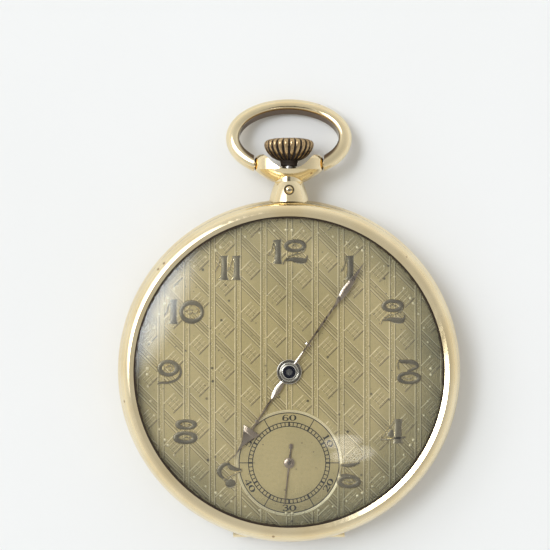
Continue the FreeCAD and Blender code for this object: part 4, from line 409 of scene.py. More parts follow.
def dial_ground(name, bright, shade, stipple=False):
    """Aged gilt-silver dial metal, satin, with a few age spots; darker and greener towards the rim and the
    lower right, which is painted shade.
    """
    paint = Paint(name, Metallic=0.6)
    reach = paint.reach(PALE_X, PALE_Y)
    cloud = paint.remap(paint.noise(0.12, 3.0), 0.3, 0.7, -0.25, 0.25)
    # painted shade: from the pale middle out to the rim the colour goes to the shade colour, with a slow
    # random cloud
    rim = paint.maths("ADD", paint.remap(reach, PALE_EDGE, DARK_EDGE, 0.0, 1.0), cloud)
    ground = paint.blend(rim, bright, shade)
    faint = paint.remap(paint.noise(2.6, 5.0), 0.42, 0.75, 0.0, 0.35)
    ground = paint.blend(faint, ground, tuple(c * 0.72 for c in bright))
    large = age_spots(paint, 0.5, 0.12, 0.3, 0.44, 0.52, 0.9)
    small = age_spots(paint, 1.1, 0.14, 0.5, 0.46, 0.56, 0.7)
    paint.colour(paint.blend(paint.maths("MAXIMUM", large, small), ground, SPOT_COLOUR))
    paint.rough(paint.remap(paint.noise(5.0, 4.0), 0.3, 0.7, 0.36, 0.5))
    paint.bump(paint.noise(7.0, 3.0), 0.006)
    if stipple:
        near_rim = paint.remap(reach, STIPPLE_INNER, STIPPLE_OUTER, 0.0, 1.0)
        paint.bump(paint.maths("MULTIPLY", paint.specks(4.2, 0.42), near_rim), 0.03)
    return paint.material


def ink_paint():
    """Black printing ink, thin and brownish in places."""
    paint = Paint("dial_ink", Roughness=0.5)
    slow = paint.slow(1.1, first=0.3, last=0.75)
    paint.colour(paint.blend(slow, (0.010, 0.008, 0.006), (0.03, 0.024, 0.016)))
    return paint.material


STRIPE_ANGLE = 0.9
STRIPES_PER_MM = 0.16


def striped_plate():
    """Nickelled movement plate with parallel waves of fine polishing strokes."""
    paint = Paint("bridge_stripes", Metallic=1.0)
    turned = paint.node("ShaderNodeMapping")
    turned.inputs["Rotation"].default_value = (0, 0, STRIPE_ANGLE)
    paint.link(paint.place, turned.inputs["Vector"])
    wave = paint.node("ShaderNodeTexWave", wave_profile="SAW")
    wave.inputs["Scale"].default_value = STRIPES_PER_MM / MM
    wave.inputs["Distortion"].default_value = 0.0
    paint.link(turned.outputs[0], wave.inputs["Vector"])
    paint.colour(paint.blend(wave.outputs["Fac"], (0.70, 0.68, 0.64), (0.52, 0.50, 0.47)))
    strokes = paint.noise(9.0, 2.0, (1.0, 0.06, 1.0))
    paint.rough(paint.remap(strokes, 0.3, 0.7, 0.16, 0.36))
    paint.bump(wave.outputs["Fac"], 0.02)
    paint.bump(strokes, 0.002)
    return paint.material


GRIND_MARKS_PER_MM = 0.9
RINGS_PER_MARK = 5.0


def grained_plate():
    """Nickelled plate covered with small overlapping round grinding marks."""
    paint = Paint("plate_grain", Metallic=1.0)
    cells = paint.node("ShaderNodeTexVoronoi")
    cells.inputs["Scale"].default_value = GRIND_MARKS_PER_MM / MM
    cells.inputs["Randomness"].default_value = 0.12
    paint.link(paint.place, cells.inputs["Vector"])
    rings = paint.maths("FRACT", paint.maths("MULTIPLY", cells.outputs["Distance"], RINGS_PER_MARK), 0.0)
    paint.colour(paint.blend(rings, (0.66, 0.64, 0.60), (0.54, 0.52, 0.47)))
    paint.rough(paint.remap(rings, 0.0, 1.0, 0.2, 0.36))
    paint.bump(rings, 0.004)
    return paint.material


def gilt_wheel():
    """Gilded wheels with fine grain."""
    paint = Paint("gilt_wheel", Metallic=1.0)
    paint.colour(paint.blend(paint.slow(0.8), (0.80, 0.60, 0.27), (0.70, 0.50, 0.22)))
    strokes = paint.noise(9.0, 3.0, (1.0, 0.15, 1.0))
    paint.rough(paint.remap(strokes, 0.3, 0.7, 0.16, 0.3))
    paint.bump(strokes, 0.002)
    return paint.material


def ruby_paint():
    """Polished synthetic ruby, deeper in places."""
    paint = Paint("ruby", Roughness=0.04, IOR=1.77, Coat_Weight=0.6)
    paint.colour(paint.blend(paint.slow(1.6, first=0.3), (0.52, 0.012, 0.06), (0.34, 0.006, 0.04)))
    return paint.material


def blued_paint():
    """Steel blued by heat, towards purple in places."""
    paint = Paint("blued_steel", Metallic=1.0)
    paint.colour(paint.blend(paint.slow(0.9), (0.05, 0.08, 0.30), (0.10, 0.07, 0.24)))
    paint.rough(paint.remap(paint.noise(5.0, 3.0), 0.3, 0.7, 0.14, 0.26))
    return paint.material


UNDER_RADIUS = 21.0


def card_paint():
    """Matt white card with a faint tooth, clear from underneath. Under the watch, light passes through it."""
    paint = Paint("card", Roughness=0.75)
    paint.colour(paint.blend(paint.slow(0.012, first=0.3), (0.86, 0.86, 0.845), (0.835, 0.835, 0.815)))
    paint.bump(paint.noise(1.2, 4.0), 0.01)
    under = paint.maths("LESS_THAN", paint.reach(), UNDER_RADIUS * MM)
    bounced = paint.maths("SUBTRACT", 1.0, paint.node("ShaderNodeLightPath").outputs["Is Camera Ray"])
    from_below = paint.node("ShaderNodeNewGeometry").outputs["Backfacing"]
    see_through = paint.maths("MAXIMUM", from_below, paint.maths("MULTIPLY", under, bounced))
    clear = paint.node("ShaderNodeBsdfTransparent").outputs[0]
    paint.link(paint.mixed(see_through, paint.shader.outputs[0], clear), paint.output.inputs["Surface"])
    return paint.material


make_camera()
make_lights()
make_floor(card_paint())

GOLD = gold_paint("gold_case")
BOW_GOLD = gold_paint("bow_gold", inner_wall_shade=True)
CROWN_GOLD = crown_paint()
GRIME_AND_SHADE = grime_paint()
GLASS = glass_paint()
DIAL_GROUND = dial_ground("dial_ground", (0.55, 0.44, 0.215), (0.22, 0.195, 0.10), stipple=True)
# Copies of the dial metal: a brighter one for painted highlights on the pattern's lines, the grains, the pips
# and the seconds dial's edge, a darker one for painted shade beside the lines, and a paler one for the
# hatching
DIAL_HIGHLIGHT = dial_ground("dial_highlight", (0.86, 0.74, 0.47), (0.46, 0.43, 0.28))
DIAL_SHADE = dial_ground("dial_shade", (0.20, 0.155, 0.08), (0.12, 0.10, 0.055))
DIAL_HATCH = dial_ground("dial_hatch", (0.60, 0.50, 0.28), (0.30, 0.27, 0.16))
# The numerals' tops, and a brighter copy for their sloping sides and threads, which is painted highlight
NUMERAL_TOP = worn_metal("numeral_top", (0.21, 0.18, 0.12), (0.12, 0.105, 0.075), 0.4, 0.1, 3.4, 0.012)
NUMERAL_HIGHLIGHT = worn_metal("numeral_side", (0.80, 0.72, 0.52), (0.52, 0.47, 0.32), 0.26)
INK = ink_paint()
HAND_STEEL = worn_metal("hand_steel", (0.46, 0.37, 0.29), (0.27, 0.21, 0.16), 0.28, 0.1)
HAND_HIGHLIGHT = worn_metal("hand_highlight", (0.66, 0.60, 0.50), (0.42, 0.36, 0.29), 0.22)
BOSS_STEEL = worn_metal("boss_steel", (0.80, 0.77, 0.71), (0.50, 0.47, 0.42), 0.16)
PINION_BLUE = worn_metal("pinion_blue", (0.05, 0.055, 0.09), (0.03, 0.032, 0.05), 0.25)
STEEL = worn_metal("polished_steel", (0.62, 0.62, 0.62), (0.45, 0.44, 0.43), 0.18)
CASE_STEEL = worn_metal("case_steel", (0.42, 0.40, 0.37), (0.28, 0.25, 0.21), 0.3)
BRIDGE = striped_plate()
PLATE = grained_plate()
GILT = gilt_wheel()
RUBY = ruby_paint()
BLUE = blued_paint()
BALANCE = worn_metal("balance_metal", (0.74, 0.60, 0.34), (0.62, 0.48, 0.26), 0.14)

PAINTS = {
    GOLD: "case_middle bezel back_cover cuvette pendant pendant_screw",
    BOW_GOLD: "bow",
    CROWN_GOLD: "crown",
    CASE_STEEL: "hinge_pin pendant_sleeve",
    GLASS: "crystal",
    DIAL_GROUND: "dial",
    HAND_STEEL: "minute_hand hour_hand seconds_hand",
    PINION_BLUE: "cannon_pinion",
    PLATE: "mainplate",
    BRIDGE: "barrel_bridge train_bridge balance_cock pallet_bridge",
    GILT: "centre_wheel third_wheel fourth_wheel hour_wheel minute_wheel escape_wheel "
          "barrel_drum barrel_cover",
    BALANCE: "balance_wheel balance_screws",
    RUBY: "jewels pallet_stones",
    BLUE: "movement_screws crown_wheel_screw ratchet_screw mainspring hairspring",
}


def paint_nodes():
    """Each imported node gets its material. What isn't listed is polished steel."""
    wanted = {name: paint for paint, names in PAINTS.items() for name in names.split()}
    for name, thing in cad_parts.items():
        thing.data.materials.clear()
        thing.data.materials.append(wanted.get(name, STEEL))


paint_nodes()


# Mesh helpers ------------------------------------------------
SHARP_ANGLE = 38


def piece(name, points, faces, marks, paints, body, replaces):
    """A finished piece from points in metres, riding on a body. marks gives each face's paint."""
    data = bpy.data.meshes.new(name)
    data.from_pydata(points, [], faces)
    data.validate()
    for paint in paints:
        data.materials.append(paint)
    data.polygons.foreach_set("material_index", marks)
    shape = bmesh.new()
    shape.from_mesh(data)
    bmesh.ops.recalc_face_normals(shape, faces=shape.faces)
    shape.to_mesh(data)
    shape.free()
    data.shade_smooth()
    data.set_sharp_from_angle(angle=math.radians(SHARP_ANGLE))
    thing = bpy.data.objects.new(name, data)
    bpy.context.scene.collection.objects.link(thing)
    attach(thing, body)
    if replaces:
        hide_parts(*replaces)


class Solid:
    """Points and faces gathered from many closed shells."""

    def __init__(self):
        self.points, self.faces, self.marks = [], [], []

    def add(self, points, faces, mark=0):
        start = len(self.points)
        self.points += points
        self.faces += [tuple(start + i for i in face) for face in faces]
        self.marks += [mark] * len(faces)

    def make(self, name, paints, body, replaces=()):
        piece(name, self.points, self.faces, self.marks, paints, body, replaces)


def tube_faces(rings, around, closed=False):
    """Faces between rings of points, with flat ends unless the rings close on themselves."""
    faces = []
    for i in range(rings if closed else rings - 1):
        a, b = i * around, (i + 1) % rings * around
        faces += [(a + k, a + (k + 1) % around, b + (k + 1) % around, b + k) for k in range(around)]
    if not closed:
        faces += [tuple(reversed(range(around))), tuple(range((rings - 1) * around, rings * around))]
    return faces


def lathe(profile, segments, centre=(0.0, 0.0)):
    """Points and faces of a closed (radius, level) profile turned about an upright axis, all in mm."""
    points = []
    for i in range(segments):
        angle = TURN * i / segments
        for radius, level in profile:
            x, y = centre[0] + radius * math.cos(angle), centre[1] + radius * math.sin(angle)
            points.append(mm(x, y, level))
    return points, tube_faces(segments, len(profile), closed=True)


def curve(p, q, r, s, t):
    """A share t of the way from q to r on the smooth curve through p, q, r and s."""
    square = 2 * p - 5 * q + 4 * r - s
    cube = 3 * q - p - 3 * r + s
    return 0.5 * (2 * q + (r - p) * t + square * t * t + cube * t**3)


def smooth_path(points, steps):
    """A Catmull-Rom curve through tuples of any length."""
    made = []
    padded = [points[0]] + list(points) + [points[-1]]
    for corners in zip(padded, padded[1:], padded[2:], padded[3:]):
        for k in range(steps):
            made.append(tuple(curve(*values, k / steps) for values in zip(*corners)))
    made.append(tuple(points[-1]))
    return made


# Sections of raised lines: (share of the half width, share of the height)
EMBOSSED = (
    (-1.0, -0.15), (-1.0, 0.1), (-0.78, 0.82), (-0.62, 1.0),
    (0.62, 1.0), (0.78, 0.82), (1.0, 0.1), (1.0, -0.15),
)
THREAD = ((-1.0, -0.2), (-1.0, 0.3), (-0.4, 1.0), (0.4, 1.0), (1.0, 0.3), (1.0, -0.2))
PRINTED = ((-1.0, -0.3), (-1.0, 1.0), (1.0, 1.0), (1.0, -0.3))


TOP_SHARE = 0.8


def stroke(solid, path, section, level, height, place, closed=False, steps=6, top_mark=0, side_mark=1):
    """Sweeps a section along (x, y, half width) points. place turns the glyph's own x, y into mm.

    Faces that lie above most of the height get the top's paint.
    """
    line = path if closed else smooth_path(path, steps)
    count = len(line)
    points = []
    for i, (x, y, half) in enumerate(line):
        before = line[i - 1] if closed or i else line[0]
        after = line[(i + 1) % count] if closed or i < count - 1 else line[-1]
        along = Vector((after[0] - before[0], after[1] - before[1]))
        along = along.normalized() if along.length else Vector((1, 0))
        for side, rise in section:
            px, py = place(x + along.y * side * half, y - along.x * side * half)
            points.append(mm(px, py, level + height * rise))
    start = len(solid.faces)
    solid.add(points, tube_faces(count, len(section), closed), side_mark)
    top = (level + height * TOP_SHARE) * MM
    for number in range(start, len(solid.faces)):
        if all(solid.points[i][2] > top for i in solid.faces[number]):
            solid.marks[number] = top_mark


RING_POINTS = 40


def ellipse(x, y, half_width, half_height, side_thickness, top_thickness):
    """A ring's line as (x, y, half thickness), from its thickness at the sides to that at top and bottom."""
    made = []
    for k in range(RING_POINTS):
        angle = TURN * k / RING_POINTS
        thickness = side_thickness + (top_thickness - side_thickness) * math.sin(angle) ** 2
        made.append((x + half_width * math.cos(angle), y + half_height * math.sin(angle), thickness))
    return made


# Dial --------------------------------------------------------
DIAL_TOP = high("dial").z / MM
SECONDS_X, SECONDS_Y = 0.0, -12.35
SECONDS_RADIUS = 7.0
SECONDS_FLOOR = DIAL_TOP - 0.12
PATTERN_RADIUS = 20.7
# Paints of the pattern's lines: painted highlight, painted shade, and the hatching's paler tone
PAINTED_HIGHLIGHT, PAINTED_SHADE, SOFT = 0, 1, 2
PATTERN_PAINTS = [DIAL_HIGHLIGHT, DIAL_SHADE, DIAL_HATCH]
LINE_RISE = 0.05
SHORTEST_LINE = 0.12
# Circles kept clear: the seconds dial, and the middle under the hands
KEEP_OUT = [((SECONDS_X, SECONDS_Y), SECONDS_RADIUS + 0.25), ((0.0, 0.0), 1.5)]
# Upright strips, between edges of lines: (offset from the middle, half width, share of the rise, paint)
COLUMNS = range(-6, 7)
STRIP_PITCH = 3.48
STRIP_HALF = 0.36
STRIP_REACH = 22
# Upright strips, between edges of lines, each a line of painted highlight with a lower line of painted shade
# to its right: (offset from the middle, half width, share of the rise, paint)
STRIP_LINES = (
    (-STRIP_HALF, 0.075, 1.2, PAINTED_HIGHLIGHT), (-STRIP_HALF + 0.17, 0.05, 0.5, PAINTED_SHADE),
    (STRIP_HALF, 0.07, 1.2, PAINTED_HIGHLIGHT), (STRIP_HALF + 0.13, 0.04, 0.5, PAINTED_SHADE),
)
STRIP_MARGIN = 0.16
# Tiles, up and down between two strips
ROWS = range(-9, 10)
TILE_PITCH = 5.70
TILE_START = 8.10
TILE_LIMIT = 26
TILE_HALF = 1.85 / 2
TILE_STEPS = 7
EDGE_REACH, EDGE_HALF, EDGE_SHARE = 1.14, 0.085, 1.4
HATCH_REACH, HATCH_HALF, HATCH_SHARE = 0.9, 0.05, 0.8
CROSS_HALF, CROSS_SHARE = 0.03, 0.6
# Bands of lines, the outer ones in painted highlight, each line with a line of painted shade at its lower side
BAND_LINES = 4
BAND_GAP = 0.34
BAND_HALF, BAND_SHARE = 0.055, 0.8
SHADED_DROP, SHADED_HALF, SHADED_SHARE = 0.17, 0.045, 0.4


def clipped(a, b):
    """The stretches of a straight line inside the pattern's circle and outside the circles kept clear."""
    a, b = Vector(a), Vector(b)
    way = b - a
    cuts = {0.0, 1.0}
    circles = [((0.0, 0.0), PATTERN_RADIUS)] + KEEP_OUT
    for centre, radius in circles:
        off = a - Vector(centre)
        half_b = off.dot(way)
        root = half_b * half_b - way.length_squared * (off.length_squared - radius * radius)
        if root > 0:
            for sign in (-1, 1):
                share = (-half_b + sign * math.sqrt(root)) / way.length_squared
                if 0 < share < 1:
                    cuts.add(share)
    cuts = sorted(cuts)
    for first, last in zip(cuts, cuts[1:]):
        middle = a + way * (first + last) / 2
        if middle.length > PATTERN_RADIUS or (last - first) * way.length < SHORTEST_LINE:
            continue
        if all((middle - Vector(centre)).length > radius for centre, radius in KEEP_OUT):
            yield a + way * first, a + way * last


RIDGE_TOP = 0.35
RIDGE_ROOT = 0.01


def ridge(solid, a, b, half, share, mark):
    """A low ridge with a sloping side each way, along every visible stretch from a to b."""
    for start, end in clipped(a, b):
        along = (end - start).normalized()
        left = Vector((-along.y, along.x))
        points = []
        for spot, full in ((start, 0), (start + along * half, 1), (end - along * half, 1), (end, 0)):
            for side, high_up in ((-1.0, 0), (-RIDGE_TOP, 1), (RIDGE_TOP, 1), (1.0, 0)):
                lift = LINE_RISE * share if high_up and full else -RIDGE_ROOT
                spread = side * half * (1.0 if full else 0.5)
                points.append(mm(spot.x + left.x * spread, spot.y + left.y * spread, DIAL_TOP + lift))
        solid.add(points, tube_faces(4, 4), mark)


def pattern():
    """Engine-turned ground: upright strips, sloping bands of lines between them, and hatched tiles."""
    lines = Solid()
    for column in COLUMNS:
        x = column * STRIP_PITCH
        for offset, half, share, mark in STRIP_LINES:
            ridge(lines, (x + offset, -STRIP_REACH), (x + offset, STRIP_REACH), half, share, mark)
        inner, outer = x + STRIP_HALF + STRIP_MARGIN, x + STRIP_PITCH - STRIP_HALF
        reach = (outer - inner) / 2
        first = TILE_START - STRIP_PITCH * (column + 2)
        for row in ROWS:
            y = first + TILE_PITCH * row
            if abs(y) > TILE_LIMIT:
                continue
            # the band falls to the right, half way between this tile and the next one up
            for number in range(BAND_LINES):
                middle = y + TILE_PITCH / 2 + (number - (BAND_LINES - 1) / 2) * BAND_GAP * math.sqrt(2)
                mark = SOFT if number % 3 else PAINTED_HIGHLIGHT
                band = (BAND_HALF, BAND_SHARE, mark), (SHADED_HALF, SHADED_SHARE, PAINTED_SHADE)
                for drop, look in zip((0, SHADED_DROP), band):
                    level = middle - drop
                    ridge(lines, (inner, level + reach), (outer, level - reach), *look)
            tile(lines, (inner + outer) / 2, y)
    lines.make("dial_pattern", PATTERN_PAINTS, "case")


def tile(lines, x, y):
    """A square stood on its corner: a strong edge on two sides, painted highlight at the upper left and
    painted shade at the lower right, and fine hatching both ways inside, partly in painted highlight and
    painted shade.
    """
    half = TILE_HALF * math.sqrt(0.5)
    inner_reach = half * HATCH_REACH
    for number in range(TILE_STEPS + 1):
        share = -1 + 2 * number / TILE_STEPS
        # a line that rises to the right, moved square to itself from the upper left to the lower right
        mid_x, mid_y = x + share * half, y - share * half
        if number in (0, TILE_STEPS):
            reach, width = half * EDGE_REACH, EDGE_HALF
            height, mark = (HATCH_SHARE, PAINTED_SHADE) if number else (EDGE_SHARE, PAINTED_HIGHLIGHT)
        else:
            reach, width = inner_reach, HATCH_HALF
            height, mark = HATCH_SHARE, SOFT if number % 2 else PAINTED_HIGHLIGHT
        ridge(lines, (mid_x - reach, mid_y - reach), (mid_x + reach, mid_y + reach), width, height, mark)
    for number in range(1, TILE_STEPS):
        share = -1 + 2 * number / TILE_STEPS
        mid_x, mid_y = x + share * half, y + share * half
        mark = PAINTED_SHADE if number % 3 == 1 else SOFT
        start, end = (mid_x - inner_reach, mid_y + inner_reach), (mid_x + inner_reach, mid_y - inner_reach)
        ridge(lines, start, end, CROSS_HALF, CROSS_SHARE, mark)


def strip_beads():
    """Small raised grains down the middle of each upright strip."""
    grains = Solid()
    draw = random.Random(7)
    for column in COLUMNS:
        y = -PATTERN_RADIUS
        while y < PATTERN_RADIUS:
            x = column * STRIP_PITCH + draw.uniform(-0.12, 0.2)
            y += draw.uniform(0.16, 0.42)
            if math.hypot(x, y) > PATTERN_RADIUS - 0.1:
                continue
            if any(math.hypot(x - c[0], y - c[1]) < r for c, r in KEEP_OUT):
                continue
            dome(grains, x, y, draw.uniform(0.04, 0.085), 0.04, 7)
    grains.make("dial_strip_grains", [DIAL_HIGHLIGHT], "case")


# (share of the radius, share of the rise)
DOME = ((1.0, -0.3), (0.96, 0.25), (0.7, 0.75), (0.35, 0.97))


def dome(solid, x, y, radius, rise, around):
    """A low round bump on the dial, with a closed foot under the surface."""
    points = []
    for share, lift in DOME:
        for k in range(around):
            angle = TURN * k / around
            across, along = radius * share * math.cos(angle), radius * share * math.sin(angle)
            points.append(mm(x + across, y + along, DIAL_TOP + rise * lift))
    solid.add(points, tube_faces(len(DOME), around))


NUMERAL_RING = 16.2
NUMERAL_HEIGHT = 3.4
NUMERAL_RISE = 0.17
NUMERAL_HOURS = (1, 2, 3, 4, 5, 7, 8, 9, 10, 11, 12)

# Each glyph is (width, rings, strokes, threads), in hundredths of its height. A ring is (x, y, half width,
# half height, half thickness at the sides, half thickness at the top), and a stroke is a line of
# (x, y, half thickness). Threads are thin strokes, all in the brighter side paint, which is painted highlight.
GLYPHS = {
    "1": (46, (), (((27, 98.5, 20), (28, 86, 14.5), (29, 50, 13.5), (28, 20, 15), (27, 2, 22)),),
        (((10, 97, 4), (8, 80, 3.5), (2, 56, 4), (-6, 40, 5.5), (-12, 37, 2)), ((12, 90, 3), (17, 60, 3),
        (14, 22, 3), (0, 0, 3)))),
    "2": (95, ((46, 73.5, 36, 19, 11, 8.5),), (((10, 14, 3), (32, 20, 9), (58, 16, 14), (82, 15, 13),
        (93, 27, 5), (93, 38, 2)),), (((86, 66, 5), (80, 53, 4.5), (54, 42, 4), (24, 33, 4), (6, 16, 4.5),
        (-2, 0, 3)), ((30, 72, 3), (44, 78, 4.5), (58, 72, 3)))),
    "0": (100, ((50, 49, 42, 37, 9.5, 12),), (), (((26, 50, 3), (36, 60, 3), (52, 56, 3), (46, 44, 3),
        (34, 42, 3)), ((56, 42, 3), (70, 46, 3.5), (74, 58, 3), (64, 64, 2.5)))),
    "3": (100, ((50, 25, 40, 19, 10.5, 7.5),), (((14, 90, 7), (40, 90, 10), (70, 86, 11), (84, 72, 8),
        (66, 60, 7), (44, 50, 6)),), (((10, 60, 3), (5, 80, 4.5), (14, 100, 3)), ((30, 28, 3), (46, 22, 5),
        (64, 29, 3)))),
    "4": (100, (), (((72, 100, 17), (71, 70, 15.5), (70, 30, 16), (70, 3, 20)), ((46, 58, 8), (42, 40, 15),
        (40, 30, 16)), ((52, 24, 5), (80, 25, 6), (100, 28, 5))), (((58, 98, 4.5), (30, 56, 5),
        (-2, 19, 4.5)), ((0, 19, 4.5), (30, 19, 6), (56, 20, 4.5)))),
    "5": (100, ((50, 25, 38, 19, 12, 8.5),), (((18, 92, 5), (48, 90, 10), (74, 95, 7), (92, 100, 3)),
        ((16, 50, 5), (44, 52, 7), (78, 42, 7))), (((20, 95, 4), (16, 72, 4.5), (14, 50, 3.5)), ((36, 27, 3),
        (50, 22, 4), (64, 27, 3)))),
    "7": (100, (), (((52, 98, 5), (24, 90, 11), (10, 68, 12), (18, 46, 7), (28, 38, 3)), ((44, 96, 7),
        (58, 82, 12), (78, 74, 9), (98, 74, 3)), ((36, 24, 10), (48, 20, 20), (62, 20, 20), (74, 24, 10))),
        (((100, 70, 3.5), (74, 56, 4.5), (44, 42, 4), (30, 28, 4.5)),)),
    "8": (100, ((53, 78, 34, 14.5, 12.5, 7.5), (50, 26, 38, 18, 13.5, 9)), (), (((34, 75, 2), (44, 80, 3.5),
        (54, 75, 3), (66, 80, 3)), ((30, 27, 2), (42, 22, 3.5), (52, 28, 3), (66, 24, 3)))),
    "9": (100, ((46, 64, 35, 26, 12, 9.5),), (((90, 74, 5), (96, 46, 6.5), (80, 20, 6), (48, 7, 6),
        (18, 6, 6), (2, 0, 3)),), (((30, 60, 3), (40, 72, 4.5), (56, 70, 4.5), (58, 58, 4), (46, 56, 3)),)),
}
DIGIT_GAP = 0.04


def hundredths(value):
    """A number, or numbers however deeply nested, divided by a hundred."""
    return value / 100 if isinstance(value, (int, float)) else tuple(hundredths(part) for part in value)


def numerals():
    """Eleven upright embossed numerals. The seconds dial takes the place of the twelfth."""
    for hour in NUMERAL_HOURS:
        glyphs = [hundredths(GLYPHS[letter]) for letter in str(hour)]
        angle = math.radians(90 - 30 * hour)
        centre = Vector((NUMERAL_RING * math.cos(angle), NUMERAL_RING * math.sin(angle)))
        width = sum(glyph[0] for glyph in glyphs) + DIGIT_GAP * (len(glyphs) - 1)
        start = -width / 2
        solid = Solid()
        for glyph_width, rings, strokes, threads in glyphs:
            def place(x, y, start=start):
                return centre.x + (start + x) * NUMERAL_HEIGHT, centre.y + (y - 0.5) * NUMERAL_HEIGHT

            for ring in rings:
                stroke(solid, ellipse(*ring), EMBOSSED, DIAL_TOP, NUMERAL_RISE, place, closed=True)
            for path in strokes:
                stroke(solid, path, EMBOSSED, DIAL_TOP, NUMERAL_RISE * 0.97, place)
            for path in threads:
                stroke(solid, path, THREAD, DIAL_TOP, NUMERAL_RISE * 1.12, place, top_mark=1)
            start += glyph_width + DIGIT_GAP
        solid.make("numeral_%d" % hour, [NUMERAL_TOP, NUMERAL_HIGHLIGHT], "case")


PIP_RING = 19.2
# Pips: their places in radians about the minute's own, their radius and their rise
MINUTE_PIPS = (0.0,), 0.19, 0.1
FIFTH_PIPS = (-0.021, 0.021), 0.26, 0.14


def minute_pips():
    """A raised pip for each minute, and a pair of larger ones for each fifth."""
    pips = Solid()
    for minute in range(60):
        shifts, radius, rise = MINUTE_PIPS if minute % 5 else FIFTH_PIPS
        for shift in shifts:
            angle = math.radians(90 - 6 * minute) + shift
            dome(pips, PIP_RING * math.cos(angle), PIP_RING * math.sin(angle), radius, rise, 10)
    pips.make("minute_pips", [DIAL_HIGHLIGHT], "case")


# Seconds dial ------------------------------------------------
INK_FOOT, INK_TOP = SECONDS_FLOOR - 0.01, SECONDS_FLOOR + 0.012
SECONDS_RINGS = (6.77, 5.50, 4.95)
RING_HALF = 0.06


def flat_ring(solid, radius):
    """A printed circle."""
    inner, outer = radius - RING_HALF, radius + RING_HALF
    profile = ((inner, INK_FOOT), (outer, INK_FOOT), (outer, INK_TOP), (inner, INK_TOP))
    solid.add(*lathe(profile, 160, (SECONDS_X, SECONDS_Y)))


def spoke(solid, turns, inner, outer, half_width):
    """A short printed line along a radius of the seconds dial, turns clockwise from its top."""
    angle = TURN * (0.25 - turns)
    along, left = Vector((math.cos(angle), math.sin(angle))), Vector((-math.sin(angle), math.cos(angle)))
    points = []
    for reach in (inner, outer):
        for side, level in ((-1, INK_FOOT), (-1, INK_TOP), (1, INK_TOP), (1, INK_FOOT)):
            spot = along * reach + left * side * half_width
            points.append(mm(SECONDS_X + spot.x, SECONDS_Y + spot.y, level))
    solid.add(points, tube_faces(2, 4))


# Small printed figures with serifs, in hundredths of their height: (rings, strokes)
SMALL = {
    "0": (((50, 50, 37, 43, 14, 4.5),), ()),
    "1": ((), (((50, 100, 12), (50, 5, 12)), ((20, 3, 5), (80, 3, 5)), ((24, 84, 5), (50, 95, 6)))),
    "2": ((), (((14, 74, 9), (30, 93, 5), (60, 95, 6), (82, 76, 12), (66, 48, 8), (30, 20, 4), (10, 6, 4)),
        ((10, 8, 6), (50, 10, 9), (90, 8, 8), (92, 26, 3)))),
    "3": ((), (((14, 80, 8), (40, 96, 4), (74, 86, 9), (70, 62, 8), (40, 53, 4)), ((40, 53, 4), (78, 45, 10),
        (82, 20, 12), (46, 4, 5), (12, 16, 9)))),
    "4": ((), (((68, 100, 11), (68, 4, 11)), ((64, 94, 4), (8, 30, 4)), ((6, 28, 5), (94, 28, 5)),
        ((44, 3, 4), (92, 3, 4)))),
    "5": ((), (((20, 95, 6), (84, 93, 8)), ((22, 94, 4), (18, 54, 4)), ((18, 54, 4), (50, 63, 5),
        (82, 46, 12), (78, 16, 12), (42, 4, 5), (14, 16, 8)))),
    "6": (((50, 29, 33, 24, 12, 4.5),), (((80, 84, 8), (54, 96, 4), (24, 74, 10), (16, 36, 12)),)),
}
# How far each figure is turned from standing outwards, so that the lower ones read upright
SECONDS_FIGURES = {60: 0.0, 10: 0.0, 20: math.pi, 30: math.pi, 40: math.pi, 50: 0.0}
FIGURE_RING, FIGURE_HEIGHT, FIGURE_WIDTH = 6.10, 0.84, 0.98


def seconds_figures(solid):
    """10 to 60 around the seconds dial."""
    rise = INK_TOP - SECONDS_FLOOR
    for number, flip in SECONDS_FIGURES.items():
        angle = TURN * (0.25 - number / 60)
        centre_x = SECONDS_X + FIGURE_RING * math.cos(angle)
        centre_y = SECONDS_Y + FIGURE_RING * math.sin(angle)
        turn = angle - math.pi / 2 + flip
        for index, letter in enumerate(str(number)):
            def place(x, y, index=index):
                across, up = (x + index - 1) * FIGURE_WIDTH, (y - 0.5) * FIGURE_HEIGHT
                return (centre_x + across * math.cos(turn) - up * math.sin(turn),
                        centre_y + across * math.sin(turn) + up * math.cos(turn))

            rings, strokes = hundredths(SMALL[letter])
            for ring in rings:
                stroke(solid, ellipse(*ring), PRINTED, SECONDS_FLOOR, rise, place, closed=True, side_mark=0)
            for path in strokes:
                stroke(solid, path, PRINTED, SECONDS_FLOOR, rise, place, steps=4, side_mark=0)


# The seconds dial's raised edge: (distance from its radius, level)
SECONDS_EDGE = (
    (-0.02, SECONDS_FLOOR - 0.02), (0.16, DIAL_TOP - 0.02), (0.16, DIAL_TOP + 0.012),
    (0.06, DIAL_TOP + 0.014), (-0.03, DIAL_TOP - 0.03), (-0.16, SECONDS_FLOOR + 0.005),
)
TICK_HALF, FIFTH_TICK_HALF, DIVISION_HALF = 0.06, 0.12, 0.055


def seconds_dial():
    """The printed track between two circles, with a tick each second, division lines, figures and an edge."""
    ink = Solid()
    for radius in SECONDS_RINGS:
        flat_ring(ink, radius)
    outer, track_outer, track_inner = SECONDS_RINGS
    for second in range(60):
        spoke(ink, second / 60, track_inner, track_outer, TICK_HALF if second % 5 else FIFTH_TICK_HALF)
        if second % 10 == 5:
            spoke(ink, second / 60, track_outer, outer, DIVISION_HALF)
    seconds_figures(ink)
    ink.make("seconds_print", [INK], "case")
    edge = Solid()
    profile = [(SECONDS_RADIUS + shift, level) for shift, level in SECONDS_EDGE]
    edge.add(*lathe(profile, 200, (SECONDS_X, SECONDS_Y)))
    # the edge is in the bright copy of the dial metal: a painted highlight
    edge.make("seconds_edge", [DIAL_HIGHLIGHT], "case")


# Crown -------------------------------------------------------
CROWN_LOBES = 24
POINTS_PER_LOBE = 12
COLLAR_POINTS = 48
